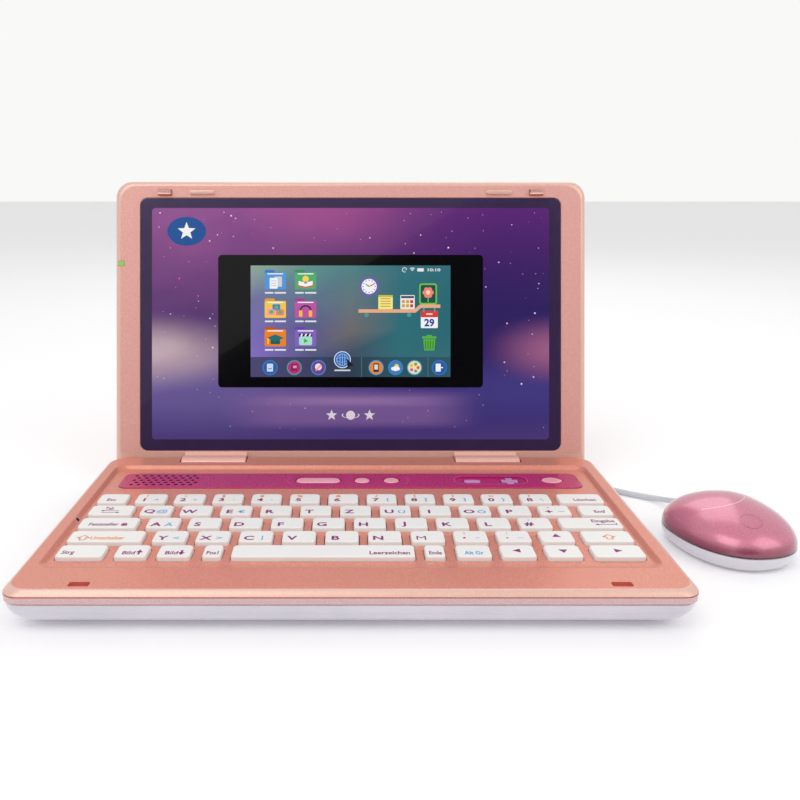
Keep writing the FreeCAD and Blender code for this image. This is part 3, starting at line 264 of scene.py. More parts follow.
ROSE = lacquer("rose_lacquer", (220, 134, 112), (236, 168, 150), 0.3, 0.36, 0.15)
# painted highlight: a lighter lacquer on the rounded edges, the window rim and the bumpers, where they catch
# the light
EDGE_HIGHLIGHT_LACQUER = lacquer("edge_highlight_lacquer", (228, 184, 168), (238, 198, 184), 0.25, 0.32, 0.3, depth=0.000002)
BAND = lacquer("pink_band", (206, 170, 172), (224, 196, 198), 0.3, 0.32, 0.2)
WHITE_SHELL = plastic("white_shell", (216, 212, 222), 0.22, coat=0.35)
KEY_WHITE = plastic("key_white", (240, 239, 236), 0.42, grain=1400.0, depth=0.000012, vary=0.012)
MAGENTA = plastic("magenta_strip", (184, 32, 104), 0.3, depth=0.000003, coat=0.25, vary=0.03)
BUTTON_PINK = plastic("button_pink", (250, 176, 186), 0.24, coat=0.5, vary=0.02)
BUTTON_LILAC = plastic("button_lilac", (212, 150, 205), 0.24, coat=0.5, vary=0.02)
DARK = plastic("dark_plastic", (18, 16, 20), 0.3, vary=0.1)
# painted shade: a darker red for the seam, the groove and the latch slots, where shade falls in the rose
# shell
RECESS_SHADE_RED = plastic("recess_shade_red", (212, 112, 96), 0.5)
WINDOW_RED = plastic("window_red", (70, 22, 26), 0.15, coat=0.8)
# painted shade: dark magenta on the walls of the speaker holes
HOLE_SHADE_RED = plastic("hole_shade_red", (96, 10, 50), 0.5)
# painted light: a lighter copy of the bezel's pink for the latch hooks, whose top faces catch the light
HOOK_LIT_PINK = plastic("hook_lit_pink", (250, 205, 195), 0.3, coat=0.4)
BEZEL = lacquer("bezel_lacquer", (226, 162, 152), (238, 188, 178), 0.2, 0.42, 0.1)
# painted light: a lighter copy of the rose lacquer for the knuckles, whose tops catch the light
KNUCKLE_LIT_ROSE = lacquer("knuckle_lit_lacquer", (242, 178, 162), (250, 206, 192), 0.2, 0.3, 0.3)
SCREEN_BLACK = plastic("screen_black", (6, 5, 8), 0.12, grain=400.0, depth=0.000002, coat=1.0,
                       coat_rough=0.03)
BOARD_GREEN = plastic("board_green", (24, 92, 50), 0.4)
CELL_JACKET = plastic("cell_jacket", (52, 58, 70), 0.3, coat=0.4)
STEEL = plastic("bright_steel", (190, 190, 196), 0.28, metallic=1.0, vary=0.06)
RUBBER = plastic("foot_rubber", (196, 194, 200), 0.75, grain=1800.0, depth=0.00004)
FILM = plastic("switch_film", (190, 190, 188), 0.5)
LIGHT_GREEN = plastic("light_green", (150, 205, 90), 0.2, coat=0.6)
MOUSE_ROSE = lacquer("mouse_rose", (206, 114, 140), (220, 138, 160), 0.4, 0.3, 0.9, 3200.0, 0.000002)
# painted shade: the mouse cover darkens towards its lower edge, standing in for a darker reflection there
paint_lower_shade(MOUSE_ROSE, (120, 40, 66), 0.4)
MOUSE_WHITE = plastic("mouse_white", (222, 218, 226), 0.2, coat=0.5, vary=0.02)
CORD_GREY = plastic("cord_grey", (204, 206, 212), 0.5, grain=1200.0, depth=0.00003)
INK = printed("legend_ink", 0.45)
PANEL_INK = printed("panel_ink", 0.25, coat=1.0)
# painted light: the screen picture glows though it is no lamp
SCREEN_INK_PAINTED_GLOW = printed("screen_ink_painted_glow", 0.2, glow=0.95, coat=1.0)


# ------------------------------------------------------------------ mesh helpers
def new_object(name, mesh, materials, body):
    piece = bpy.data.objects.new(name, mesh)
    bpy.context.scene.collection.objects.link(piece)
    for material in materials:
        mesh.materials.append(material)
    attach(piece, body)
    return piece


def soften(piece, angle=32.0):
    """Smooth shading with creases kept where faces turn by more than angle, and flat faces kept flat."""
    mesh = piece.data
    for polygon in mesh.polygons:
        polygon.use_smooth = True
    mesh.set_sharp_from_angle(angle=math.radians(angle))
    weights = piece.modifiers.new("weights", "WEIGHTED_NORMAL")
    weights.keep_sharp = True
    return piece


def corner_loop(x0, x1, y0, y1, z, front, rear=None, steps=8):
    """Points of a rounded rectangle at height z, from its front right corner round to the left."""
    rear = front if rear is None else rear
    corners = [
        (x1 - front, y0 + front, front, -90), (x1 - rear, y1 - rear, rear, 0),
        (x0 + rear, y1 - rear, rear, 90), (x0 + front, y0 + front, front, 180),
    ]
    points = []
    for cx, cy, radius, start in corners:
        for index in range(steps + 1):
            angle = math.radians(start + 90.0 * index / steps)
            points.append(Vector((cx + radius * math.cos(angle), cy + radius * math.sin(angle), z)))
    return points


def turns(count):
    """Equal angles round a full circle."""
    return [2 * math.pi * index / count for index in range(count)]


def quarter(steps):
    """Equal angles from 0 to a right angle, both ends included."""
    return [math.pi / 2 * index / steps for index in range(steps + 1)]


def pair(inner, outer):
    """X spans of two equal pieces, one each side of the middle."""
    return [(-outer, -inner), (inner, outer)]


def skin(loops, closed=False, bands=None):
    """Faces between each loop of points and the next; the ends are capped, or joined when closed."""
    mesh = bpy.data.meshes.new("skin")
    bm = bmesh.new()
    rings = [[bm.verts.new(point) for point in loop] for loop in loops]
    pairs = list(zip(rings, rings[1:]))
    if closed:
        pairs.append((rings[-1], rings[0]))
    for band, (low, high) in enumerate(pairs):
        count = len(low)
        for index in range(count):
            after = (index + 1) % count
            face = bm.faces.new((low[index], low[after], high[after], high[index]))
            face.material_index = bands[band] if bands else 0
    if not closed:
        bm.faces.new(list(reversed(rings[0]))).material_index = bands[0] if bands else 0
        bm.faces.new(rings[-1]).material_index = bands[-1] if bands else 0
    bmesh.ops.remove_doubles(bm, verts=bm.verts, dist=1e-7)
    bmesh.ops.recalc_face_normals(bm, faces=bm.faces)
    bm.to_mesh(mesh)
    bm.free()
    return mesh


def merge(meshes):
    """One mesh from several, keeping each one's material numbers."""
    bm = bmesh.new()
    for mesh in meshes:
        bm.from_mesh(mesh)
    merged = bpy.data.meshes.new("merged")
    bm.to_mesh(merged)
    bm.free()
    for mesh in meshes:
        bpy.data.meshes.remove(mesh)
    return merged


def block(x0, x1, y0, y1, z0, z1, radius=0.0003, steps=3):
    return skin([corner_loop(x0, x1, y0, y1, z0, radius, steps=steps),
                 corner_loop(x0, x1, y0, y1, z1, radius, steps=steps)])


def tube(centre, radius, start, end, axis="Z", sides=24):
    """Closed cylinder along one axis through centre, from start to end on that axis."""
    loops = []
    for place in (start, end):
        loop = []
        for angle in turns(sides):
            a = radius * math.cos(angle)
            b = radius * math.sin(angle)
            if axis == "Z":
                loop.append(Vector((centre[0] + a, centre[1] + b, place)))
            elif axis == "X":
                loop.append(Vector((place, centre[0] + a, centre[1] + b)))
            else:
                loop.append(Vector((centre[0] + b, place, centre[1] + a)))
        loops.append(loop)
    return skin(loops)


def carve(piece, meshes, material=None):
    """Cut the given closed meshes out of a piece, for good."""
    cutter = bpy.data.objects.new("cutter", merge(meshes))
    bpy.context.scene.collection.objects.link(cutter)
    if material is not None:
        cutter.data.materials.append(material)
    cut = piece.modifiers.new("cut", "BOOLEAN")
    cut.operation = "DIFFERENCE"
    cut.solver = "EXACT"
    cut.use_self = True
    cut.material_mode = "TRANSFER" if material is not None else "INDEX"
    cut.object = cutter
    bpy.context.view_layer.update()
    graph = bpy.context.evaluated_depsgraph_get()
    result = bpy.data.meshes.new_from_object(piece.evaluated_get(graph))
    piece.modifiers.clear()
    old = piece.data
    piece.data = result
    bpy.data.meshes.remove(old)
    bpy.data.objects.remove(cutter)


def lid_mesh(mesh):
    """Turn a mesh drawn flat in the lid's frame to its place on the open lid."""
    mesh.transform(LID_TURN)
    return mesh


def give(node, material):
    """Put a finish on a CAD node that is shown as it is."""
    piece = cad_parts[node]
    piece.data.materials.clear()
    piece.data.materials.append(material)


# ------------------------------------------------------------------ base
def base_loop(z, inset):
    return corner_loop(-HALF_WIDTH + inset, HALF_WIDTH - inset, FRONT_Y + inset, REAR_Y - inset, z,
                       FRONT_RADIUS, REAR_RADIUS, steps=10)


NOTCH_X = (56.3 * MM, 92.7 * MM)
NOTCH_FRONT_Y = 69.55 * MM
NOTCH_FLOOR_Z = 7.6 * MM
SLOT_X = 102.8 * MM
SLOT_Y = -75.95 * MM
STRIP_Y = (33.75 * MM, 55.35 * MM)
BUTTON_Y = 44.6 * MM
STRIP_TOP_Z = 16.6 * MM
SLOT_HALF = (4.0 * MM, 1.9 * MM)
SLOT_FLOOR_Z = 16.4 * MM
KEY_GAP = 0.22 * MM               # between a key and its opening in the deck
UNDER_DECK = 3.7 * MM             # depth of the deck shell's inner face below its top
INNER_INSET = 2.5 * MM
CHEEK = 3.0 * MM                  # wall beside each hinge notch
TUB_FLOOR = 1.5 * MM
CUT_LOW_Z = 10 * MM               # cutters of the deck start here, below its inner face


def notch_cutters(z_low, grow=0.0):
    """Openings for the hinge knuckles, through the rear edge."""
    return [block(x0, x1, NOTCH_FRONT_Y - grow, REAR_Y + 5 * MM, z_low, DECK_Z + 5 * MM, 0.5 * MM)
            for x0, x1 in pair(NOTCH_X[0] - grow, NOTCH_X[1] + grow)]


def make_deck():
    """Deck shell: band, groove, bevel, rim and the sunken keyboard floor, with every opening cut."""
    loops = [base_loop(DECK_Z - UNDER_DECK, INNER_INSET), base_loop(SEAM_Z, INNER_INSET)]
    loops += [base_loop(SEAM_Z, 0.5 * MM), base_loop(SEAM_Z + 0.25 * MM, 0.08 * MM)]
    loops.append(base_loop(SEAM_Z + 0.4 * MM, 0))
    loops += [base_loop(15.3 * MM, 0), base_loop(15.36 * MM, 0.35 * MM), base_loop(15.66 * MM, 0.35 * MM)]
    loops += [base_loop(15.72 * MM, 0.06 * MM), base_loop(15.85 * MM, 0.02 * MM)]
    # band 1 is the lighter edge lacquer, painted highlight on the rounded top edge; band 3 is the darker red,
    # painted shade at the seam and in the groove
    bands = [0, 0, 3, 3, 2, 3, 3, 3, 1]
    for up, inset in ((0.5, 0.35), (1.0, 0.85), (1.5, 1.4), (1.85, 1.85), (2.05, 2.2), (2.15, 2.6)):
        loops.append(base_loop(15.85 * MM + up * MM, inset * MM))
        bands.append(1)
    well = ((0.0, 0.0, 0.0), (0.35, 0.06, 0.35), (0.8, 0.35, 1.0), (1.5, 1.1, 2.6), (2.1, 1.75, 4.4),
            (2.8, 1.97, 6.0), (3.4, 2.0, 7.0))
    for side, drop, front in well:
        loops.append(corner_loop(
            -WELL_HALF + side * MM, WELL_HALF - side * MM, WELL_FRONT_Y + front * MM,
            WELL_REAR_Y - side * 0.7 * MM, DECK_Z - drop * MM, 6.0 * MM, 5.5 * MM, steps=10))
        bands.append(0)
    deck = new_object("deck", skin(loops, bands=bands), [ROSE, EDGE_HIGHLIGHT_LACQUER, BAND, RECESS_SHADE_RED], "base")
    cutters = []
    for _, row, spans in KEYS:
        y0 = ROW_Y[row] - KEY_DEPTH / 2 - KEY_GAP
        y1 = ROW_Y[row] + KEY_DEPTH / 2 + KEY_GAP
        for x0, x1 in spans:
            cutters.append(block(x0 - KEY_GAP, x1 + KEY_GAP, y0, y1, CUT_LOW_Z, DECK_Z, 2.2 * MM, steps=4))
    cutters.append(block(-114 * MM, 113 * MM, STRIP_Y[0] + 3 * MM, STRIP_Y[1] - 3 * MM, CUT_LOW_Z, DECK_Z,
                         3 * MM))
    carve(deck, cutters)
    carve(deck, notch_cutters(CUT_LOW_Z))
    slots = [block(x - SLOT_HALF[0], x + SLOT_HALF[0], SLOT_Y - SLOT_HALF[1], SLOT_Y + SLOT_HALF[1],
                   SLOT_FLOOR_Z, DECK_Z + MM, 0.8 * MM) for x in (-SLOT_X, SLOT_X)]
    # the slots' cut faces take the darker red: painted shade inside them
    carve(deck, slots, RECESS_SHADE_RED)
    soften(deck, 28.0)
    tubs = [block(x0, x1, NOTCH_FRONT_Y - TUB_FLOOR, 77.0 * MM, NOTCH_FLOOR_Z - TUB_FLOOR, 14.4 * MM)
            for x0, x1 in pair(NOTCH_X[0] - CHEEK, NOTCH_X[1] + CHEEK)]
    cheeks = new_object("hinge_tubs", merge(tubs), [ROSE], "base")
    carve(cheeks, notch_cutters(NOTCH_FLOOR_Z))
    soften(cheeks)
    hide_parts("deck_shell")
    make_window()


def make_window():
    """Small receiver window that lies on the sloping left side of the keyboard well."""
    lean = Matrix.Rotation(math.radians(47.0), 4, "Y")
    place = Matrix.Translation((-123.5 * MM, -9.5 * MM, 17.0 * MM)) @ lean
    frame_mesh = block(-1.25 * MM, 1.25 * MM, -1.5 * MM, 1.5 * MM, -0.5 * MM, 0.1 * MM, 0.4 * MM)
    tile_mesh = block(-0.9 * MM, 0.9 * MM, -1.15 * MM, 1.15 * MM, -0.5 * MM, 0.18 * MM, 0.3 * MM)
    for mesh in (frame_mesh, tile_mesh):
        mesh.transform(place)
    soften(new_object("window_rim", frame_mesh, [EDGE_HIGHLIGHT_LACQUER], "base"))
    window = soften(new_object("window_tile", tile_mesh, [WINDOW_RED], "base"))
    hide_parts("status_window")


def make_bottom():
    """White bottom shell, curving in under the base in a quarter of an ellipse."""
    loops = []
    bends = quarter(12)
    for bend in bends:
        z = BOTTOM_TOP_Z - (BOTTOM_TOP_Z - FOOT_Z) * math.cos(bend)
        loops.append(base_loop(z, UNDER_INSET * (1 - math.sin(bend)) + 0.5 * MM))
    loops.append(base_loop(SEAM_Z, 0.9 * MM))
    loops.append(base_loop(SEAM_Z, 2.4 * MM))
    for bend in (bends[8], bends[5], bends[3]):
        z = BOTTOM_TOP_Z - (BOTTOM_TOP_Z - FOOT_Z - 2 * MM) * math.cos(bend)
        loops.append(base_loop(z, UNDER_INSET * (1 - math.sin(bend)) + 2.6 * MM))
    bottom = new_object("bottom_shell", skin(loops), [WHITE_SHELL], "base")
    cutters = notch_cutters(NOTCH_FLOOR_Z - TUB_FLOOR, CHEEK)
    cutters.append(block(-72 * MM, 72 * MM, -67.4 * MM, -52.9 * MM, 0, 3.1 * MM, 1.5 * MM))
    cutters.append(block(-4.4 * MM, 4.4 * MM, -54 * MM, -45.4 * MM, 0, 3.1 * MM, 1.5 * MM))
    cutters.append(tube((100 * MM, 5 * MM), 2.9 * MM, 62 * MM, 90 * MM, "Y", 32))
    for x, y in CASE_SCREWS:
        cutters.append(tube((x * MM, y * MM), SCREW_HOLE, 0, 3.9 * MM))
    for x, y in FOOT_PLACES:
        cutters.append(tube((x * MM, y * MM), 6.0 * MM, 0, 2.3 * MM, sides=48))
    carve(bottom, cutters)
    soften(bottom, 28.0)
    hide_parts("base_bottom_shell")


# ------------------------------------------------------------------ keys
KEY_DEPTH = 12.5 * MM
KEY_TOP_Z = 17.85 * MM
KEY_LOW_Z = 13.9 * MM
KEY_EDGE = 0.5 * MM
ROW_Y = [(15.35 - 15.15 * row) * MM for row in range(5)]
PITCH = 18.4 * MM
WIDTH = 14.8 * MM


def run(left, count):
    return [(left * MM + PITCH * i, left * MM + PITCH * i + WIDTH) for i in range(count)]


def one(x0, x1):
    return [(x0 * MM, x1 * MM)]


KEYS = [
    ("key_escape", 0, one(-120.8, -106.5)), ("keys_digits", 0, run(-102.9, 11)),
    ("key_delete_back", 0, one(99.3, 120.8)),
    ("key_tab", 1, one(-120.8, -100.3)), ("keys_upper_letters", 1, run(-97.1, 11)),
    ("key_remove", 1, one(105.7, 120.8)),
    ("key_caps_lock", 2, one(-120.8, -94.6)), ("keys_middle_letters", 2, run(-90.8, 10)),
    ("key_enter", 2, one(93.1, 120.8)),
    ("key_shift_left", 3, one(-120.8, -88.5)), ("keys_lower_letters", 3, run(-84.7, 9)),
    ("key_arrow_up", 3, one(80.9, 95.7)), ("key_shift_right", 3, one(99.3, 120.8)),
    ("key_control", 4, one(-120.8, -100.9)), ("key_page_up", 4, one(-96.8, -83.1)),
    ("key_page_down", 4, one(-79.4, -65.3)), ("key_home", 4, one(-60.8, -52.7)),
    ("key_space", 4, one(-49.1, 26.7)), ("key_end", 4, one(30.4, 39.0)), ("key_alt", 4, one(43.4, 58.0)),
    ("key_arrow_left", 4, one(61.6, 76.2)), ("key_arrow_down", 4, one(80.2, 95.2)),
    ("key_arrow_right", 4, one(99.3, 120.8)),
]


def key_mesh(x0, x1, y):
    """One key cap: drafted sides, a small round along the top edge and a flat top."""
    half = KEY_DEPTH / 2
    loops = []
    profile = [(0.0, KEY_LOW_Z), (0.1, 15.6 * MM), (0.3, KEY_TOP_Z - KEY_EDGE)]
    for bend in quarter(4)[1:]:
        inset = 0.3 + KEY_EDGE / MM * (1 - math.cos(bend))
        profile.append((inset, KEY_TOP_Z - KEY_EDGE * (1 - math.sin(bend))))
    for inset, z in profile:
        d = inset * MM
        radius = 2.0 * MM - d * 0.35
        loops.append(corner_loop(x0 + d, x1 - d, y - half + d, y + half - d, z, radius, steps=5))
    return skin(loops)


def make_keys():
    for name, row, spans in KEYS:
        caps = merge([key_mesh(x0, x1, ROW_Y[row]) for x0, x1 in spans])
        piece = new_object(name + "_caps", caps, [KEY_WHITE], name)
        soften(piece, 40.0)
        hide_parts(name)


# ------------------------------------------------------------------ flat printing
class Print:
    """Flat coloured shapes, laid in thin layers on a plane and joined to one mesh."""

    LAYER = 0.02 * MM
    STAR_WAIST = 0.42

    def __init__(self, surface_z=0.0):
        self.bm = bmesh.new()
        self.ink = self.bm.loops.layers.float_color.new("ink")
        self.z = surface_z

    def paint(self, faces, colour):
        value = srgb(*colour)
        for face in faces:
            for loop in face.loops:
                loop[self.ink] = value

    def polygon(self, points, colour, layer=1):
        verts = [self.bm.verts.new((x, y, self.z + layer * self.LAYER)) for x, y in points]
        face = self.bm.faces.new(verts)
        face.normal_update()
        if face.normal.z < 0:
            face.normal_flip()
        self.paint([face], colour)

    def shaded(self, points, colours, layer=1):
        """Polygon with one colour to each corner."""
        verts = [self.bm.verts.new((x, y, self.z + layer * self.LAYER)) for x, y in points]
        face = self.bm.faces.new(verts)
        for loop, colour in zip(face.loops, colours):
            loop[self.ink] = srgb(*colour)

    def rect(self, x, y, width, height, colour, layer=1, radius=0.0):
        if radius <= 0:
            points = [(x - width / 2, y - height / 2), (x + width / 2, y - height / 2),
                      (x + width / 2, y + height / 2), (x - width / 2, y + height / 2)]
        else:
            loop = corner_loop(x - width / 2, x + width / 2, y - height / 2, y + height / 2, 0, radius,
                               steps=5)
            points = [(point.x, point.y) for point in loop]
        self.polygon(points, colour, layer)

    def disc(self, x, y, radius, colour, layer=1, sides=24, squeeze=1.0):
        points = [(x + radius * math.cos(a), y + radius * squeeze * math.sin(a)) for a in turns(sides)]
        self.polygon(points, colour, layer)

    def arc(self, x, y, radius, width, start, end, colour, layer=1, steps=16, squeeze=1.0):
        """Bent strip between two angles in degrees."""
        inner = []
        outer = []
        for index in range(steps + 1):
            angle = math.radians(start + (end - start) * index / steps)
            c = math.cos(angle)
            s = math.sin(angle) * squeeze
            inner.append((x + (radius - width / 2) * c, y + (radius - width / 2) * s))
            outer.append((x + (radius + width / 2) * c, y + (radius + width / 2) * s))
        for index in range(steps):
            self.polygon([inner[index], inner[index + 1], outer[index + 1], outer[index]], colour, layer)

    def line(self, x0, y0, x1, y1, width, colour, layer=1):
        along = Vector((x1 - x0, y1 - y0))
        side = Vector((-along.y, along.x)).normalized() * width / 2
        self.polygon([(x0 - side.x, y0 - side.y), (x1 - side.x, y1 - side.y),
                      (x1 + side.x, y1 + side.y), (x0 + side.x, y0 + side.y)], colour, layer)

    def outline(self, points, width, colour):
        """Closed line through the points, skipping any that repeat the one before."""
        for here, there in zip(points, points[1:] + points[:1]):
            if (Vector(here) - Vector(there)).length > 1e-6:
                self.line(*here, *there, width, colour)

    def star(self, x, y, radius, colour, layer=1):
        """Star with five points, one of them up."""
        corners = []
        for index in range(10):
            reach = radius if index % 2 == 0 else radius * self.STAR_WAIST
            angle = math.radians(90.0 + 180.0 * index / 5)
            corners.append((x + reach * math.cos(angle), y + reach * math.sin(angle)))
        self.polygon(corners, colour, layer)

    def text(self, words, x, y, size, colour, align="CENTER", layer=1, stretch=1.1, weight=0.02, width=None):
        """Characters in the built-in font, centred on y; a given width sets how far they stretch."""
        curve = bpy.data.curves.new("words", "FONT")
        curve.body = words
        curve.size = size
        curve.align_x = align
        curve.offset = weight * size
        curve.resolution_u = 3
        thing = bpy.data.objects.new("words", curve)
        bpy.context.scene.collection.objects.link(thing)
        bpy.context.view_layer.update()
        graph = bpy.context.evaluated_depsgraph_get()
        mesh = bpy.data.meshes.new_from_object(thing.evaluated_get(graph))
        if mesh.vertices:
            highest = max(v.co.y for v in mesh.vertices)
            lowest = min(v.co.y for v in mesh.vertices)
            middle = (highest + lowest) / 2
            if width:
                reach = [v.co.x for v in mesh.vertices]
                stretch = width / (max(reach) - min(reach))
            before = len(self.bm.faces)
            for vertex in mesh.vertices:
                vertex.co = ((vertex.co.x * stretch) + x, vertex.co.y - middle + y,
                             self.z + layer * self.LAYER)
            self.bm.from_mesh(mesh)
            self.bm.faces.ensure_lookup_table()
            self.paint(self.bm.faces[before:], colour)
        bpy.data.objects.remove(thing)
        bpy.data.curves.remove(curve)
        bpy.data.meshes.remove(mesh)

    def finish(self, name, material, body, matrix=None):
        mesh = bpy.data.meshes.new(name)
        bmesh.ops.triangulate(self.bm, faces=[f for f in self.bm.faces if len(f.verts) > 4])
        self.bm.to_mesh(mesh)
        self.bm.free()
        if matrix is not None:
            mesh.transform(matrix)
        return new_object(name, mesh, [material], body)


PURPLE = (138, 6, 112)
ORANGE = (240, 140, 30)
BLUE = (44, 160, 224)

MAIN = {
    "keys_digits": "1234567890ß", "keys_upper_letters": "QWERTZUIOP+",
    "keys_middle_letters": "ASDFGHJKL#", "keys_lower_letters": "YXCVBNM,.",
}
SHIFTED = {"keys_digits": "!\"§$%&/()=?", "keys_upper_letters": "          *",
           "keys_middle_letters": "         '", "keys_lower_letters": "       ;:"}
THIRD = {"keys_digits": "^°´`  {[]}\\", "keys_upper_letters": "@ €   Ü Ö ~",
         "keys_middle_letters": "Ä         ", "keys_lower_letters": "<>|    -_"}
WORDS = {                          # word, colour, side it is set from, width, distance from that side
    "key_escape": ("Esc", PURPLE, "LEFT", 4.4, 4.4),
    "key_delete_back": ("Löschen", PURPLE, "RIGHT", 10.6, 3.6),
    "key_tab": ("Tab", PURPLE, "LEFT", 4.1, 6.8), "key_remove": ("Entf", PURPLE, "RIGHT", 5.2, 3.6),
    "key_caps_lock": ("Feststeller", PURPLE, "LEFT", 13.2, 4.6),
    "key_enter": ("Eingabe", PURPLE, "RIGHT", 10.4, 2.6),
    "key_shift_left": ("Umschalter", ORANGE, "LEFT", 14.6, 9.6),
    "key_control": ("Strg", PURPLE, "LEFT", 5.2, 2.2),
    "key_page_up": ("Bild", PURPLE, "LEFT", 5.2, 3.0), "key_page_down": ("Bild", PURPLE, "LEFT", 5.2, 3.2),
    "key_home": ("Pos1", PURPLE, "LEFT", 4.9, 1.6), "key_space": ("Leerzeichen", PURPLE, "RIGHT", 16.6, 2.2),
    "key_end": ("Ende", PURPLE, "LEFT", 5.2, 1.7), "key_alt": ("Alt Gr", BLUE, "LEFT", 7.9, 3.4),
}


def arrow(sheet, x, y, size, turn, colour=PURPLE):
    """Filled triangle that points up when turn is 0."""
    points = []
    for angle in (90, 210, 330):
        a = math.radians(angle + turn)
        points.append((x + size * math.cos(a), y + size * math.sin(a)))
    sheet.polygon(points, colour)


def stem_arrow(sheet, x, y, size, turn, colour):
    """Arrow with a stem, centred on x, y and pointing up when turn is 0."""
    a = math.radians(turn + 90)
    c, s = math.cos(a), math.sin(a)
    sheet.line(x - size * c, y - size * s, x + size * 0.2 * c, y + size * 0.2 * s, size * 0.42, colour)
    arrow(sheet, x + size * 0.4 * c, y + size * 0.4 * s, size * 0.8, turn, colour)


def shift_mark(sheet, x, y, colour):
    """Open arrow outline of a shift key."""
    points = [(-2.6, 0.0), (0.0, 2.6), (2.6, 0.0), (1.2, 0.0), (1.2, -2.2), (-1.2, -2.2), (-1.2, 0.0)]
    sheet.outline([(x + dx * MM, y + dy * MM) for dx, dy in points], 0.62 * MM, colour)


ARROWS = {"key_arrow_up": 0, "key_arrow_left": 90, "key_arrow_down": 180, "key_arrow_right": -90}


def make_legends():
    for name, row, spans in KEYS:
        sheet = Print(KEY_TOP_Z)
        y = ROW_Y[row]
        low = y - 1.9 * MM
        for index, (x0, x1) in enumerate(spans):
            if name in MAIN:
                left = x0 + 4.5 * MM
                size = 5.3 * MM if row == 0 else 5.7 * MM
                weight = 0.0 if MAIN[name][index] == "M" else 0.03
                sheet.text(MAIN[name][index], left, low, size, PURPLE, stretch=1.12, weight=weight)
                sheet.text(SHIFTED[name][index], left + 0.5 * MM, y + 2.9 * MM, 3.8 * MM, ORANGE, weight=0.03)
                sheet.text(THIRD[name][index], x1 - 4.6 * MM, low, 4.8 * MM, BLUE, weight=0.008)
        x0, x1 = spans[0]
        middle = (x0 + x1) / 2
        if name in WORDS:
            words, colour, side, width, inset = WORDS[name]
            place = x0 + inset * MM if side == "LEFT" else x1 - inset * MM
            up = {"key_tab": 2.0, "key_enter": 1.4}.get(name, -1.9) * MM
            sheet.text(words, place, y + up, 4.5 * MM, colour, side, width=width * MM, weight=0.024)
        if name in ARROWS:
            arrow(sheet, middle, y + 0.2 * MM, 2.2 * MM, ARROWS[name])
        if name in ("key_page_up", "key_page_down"):
            turn = 0 if name == "key_page_up" else 180
            stem_arrow(sheet, x0 + 10.0 * MM, y - 1.5 * MM, 2.1 * MM, turn, PURPLE)
        if name == "key_shift_left":
            shift_mark(sheet, x0 + 6.6 * MM, y - 1.9 * MM, ORANGE)
        if name == "key_shift_right":
            shift_mark(sheet, middle + 0.6 * MM, y - 0.9 * MM, ORANGE)
        if name == "key_caps_lock":
            sheet.rect(x0 + 20.4 * MM, low - 0.5 * MM, 2.6 * MM, 2.4 * MM, PURPLE, radius=0.4 * MM)
            sheet.arc(x0 + 20.4 * MM, low + 0.6 * MM, 0.85 * MM, 0.4 * MM, 0, 180, PURPLE)
        if name == "key_enter":
            sheet.line(x1 - 11.0 * MM, y - 2.2 * MM, x1 - 2.6 * MM, y - 2.2 * MM, 0.55 * MM, PURPLE)
            sheet.line(x1 - 2.6 * MM, y - 2.5 * MM, x1 - 2.6 * MM, y - 0.7 * MM, 0.55 * MM, PURPLE)
            arrow(sheet, x1 - 11.2 * MM, y - 2.2 * MM, 1.2 * MM, 90)
        if name == "key_tab":
            for lift, turn, end in ((-0.9, 90, 6.4), (-3.1, -90, 13.6)):
                sheet.line(x0 + 6.2 * MM, y + lift * MM, x0 + 13.8 * MM, y + lift * MM, 0.5 * MM, PURPLE)
                arrow(sheet, x0 + end * MM, y + lift * MM, 1.1 * MM, turn)
        if sheet.bm.faces:
            sheet.finish(name + "_legends", INK, name)
        else:
            sheet.bm.free()


# ------------------------------------------------------------------ control strip
BUTTONS = {
    "button_wide": (-27.9, -5.2, 7.8, 3.85), "button_round_left": (2.0, 9.9, 7.8, 3.85),
    "button_round_right": (16.9, 24.8, 7.8, 3.85), "button_volume_down": (58.1, 66.7, 4.0, 1.8),
    "button_volume_up": (77.2, 85.9, 8.7, 2.0), "button_pointer": (97.8, 108.5, 8.4, 4.1),
}
STRIP_HALF = 117.2 * MM
# painted highlight colour of the rims round the pocket and the button row
RIM_HIGHLIGHT_PINK = (216, 92, 148)
POCKET = (53.6 * MM, 90.1 * MM)
POCKET_HALF = 5.6 * MM
BUTTON_GAP = 0.4 * MM
CAP_LOW_Z = 13.8 * MM
GRILLE = (5, 9)                   # rows of speaker holes and holes in a row
GRILLE_X = -95.9
GRILLE_PITCH = (3.75, 3.3)        # along a row, and from row to row
GRILLE_SHIFT = 1.88               # every other row is moved across by this
GRILLE_HOLE = 0.95 * MM


def cap_loops(x0, x1, y0, y1, radius, low, top, edge, steps=8):
    """Loops of a cap with a rounded top edge and a slightly crowned top."""
    loops = [corner_loop(x0, x1, y0, y1, low, radius, steps=steps)]
    for bend in quarter(5):
        d = edge * (1 - math.cos(bend))
        loops.append(corner_loop(x0 + d, x1 - d, y0 + d, y1 - d, top - edge * 1.1 + edge * math.sin(bend),
                                 max(radius - d, 0.2 * MM), steps=steps))
    d = min((y1 - y0) * 0.38, radius * 0.8)
    loops.append(corner_loop(x0 + d, x1 - d, y0 + d, y1 - d, top, max(radius - d, 0.15 * MM), steps=steps))
    return loops


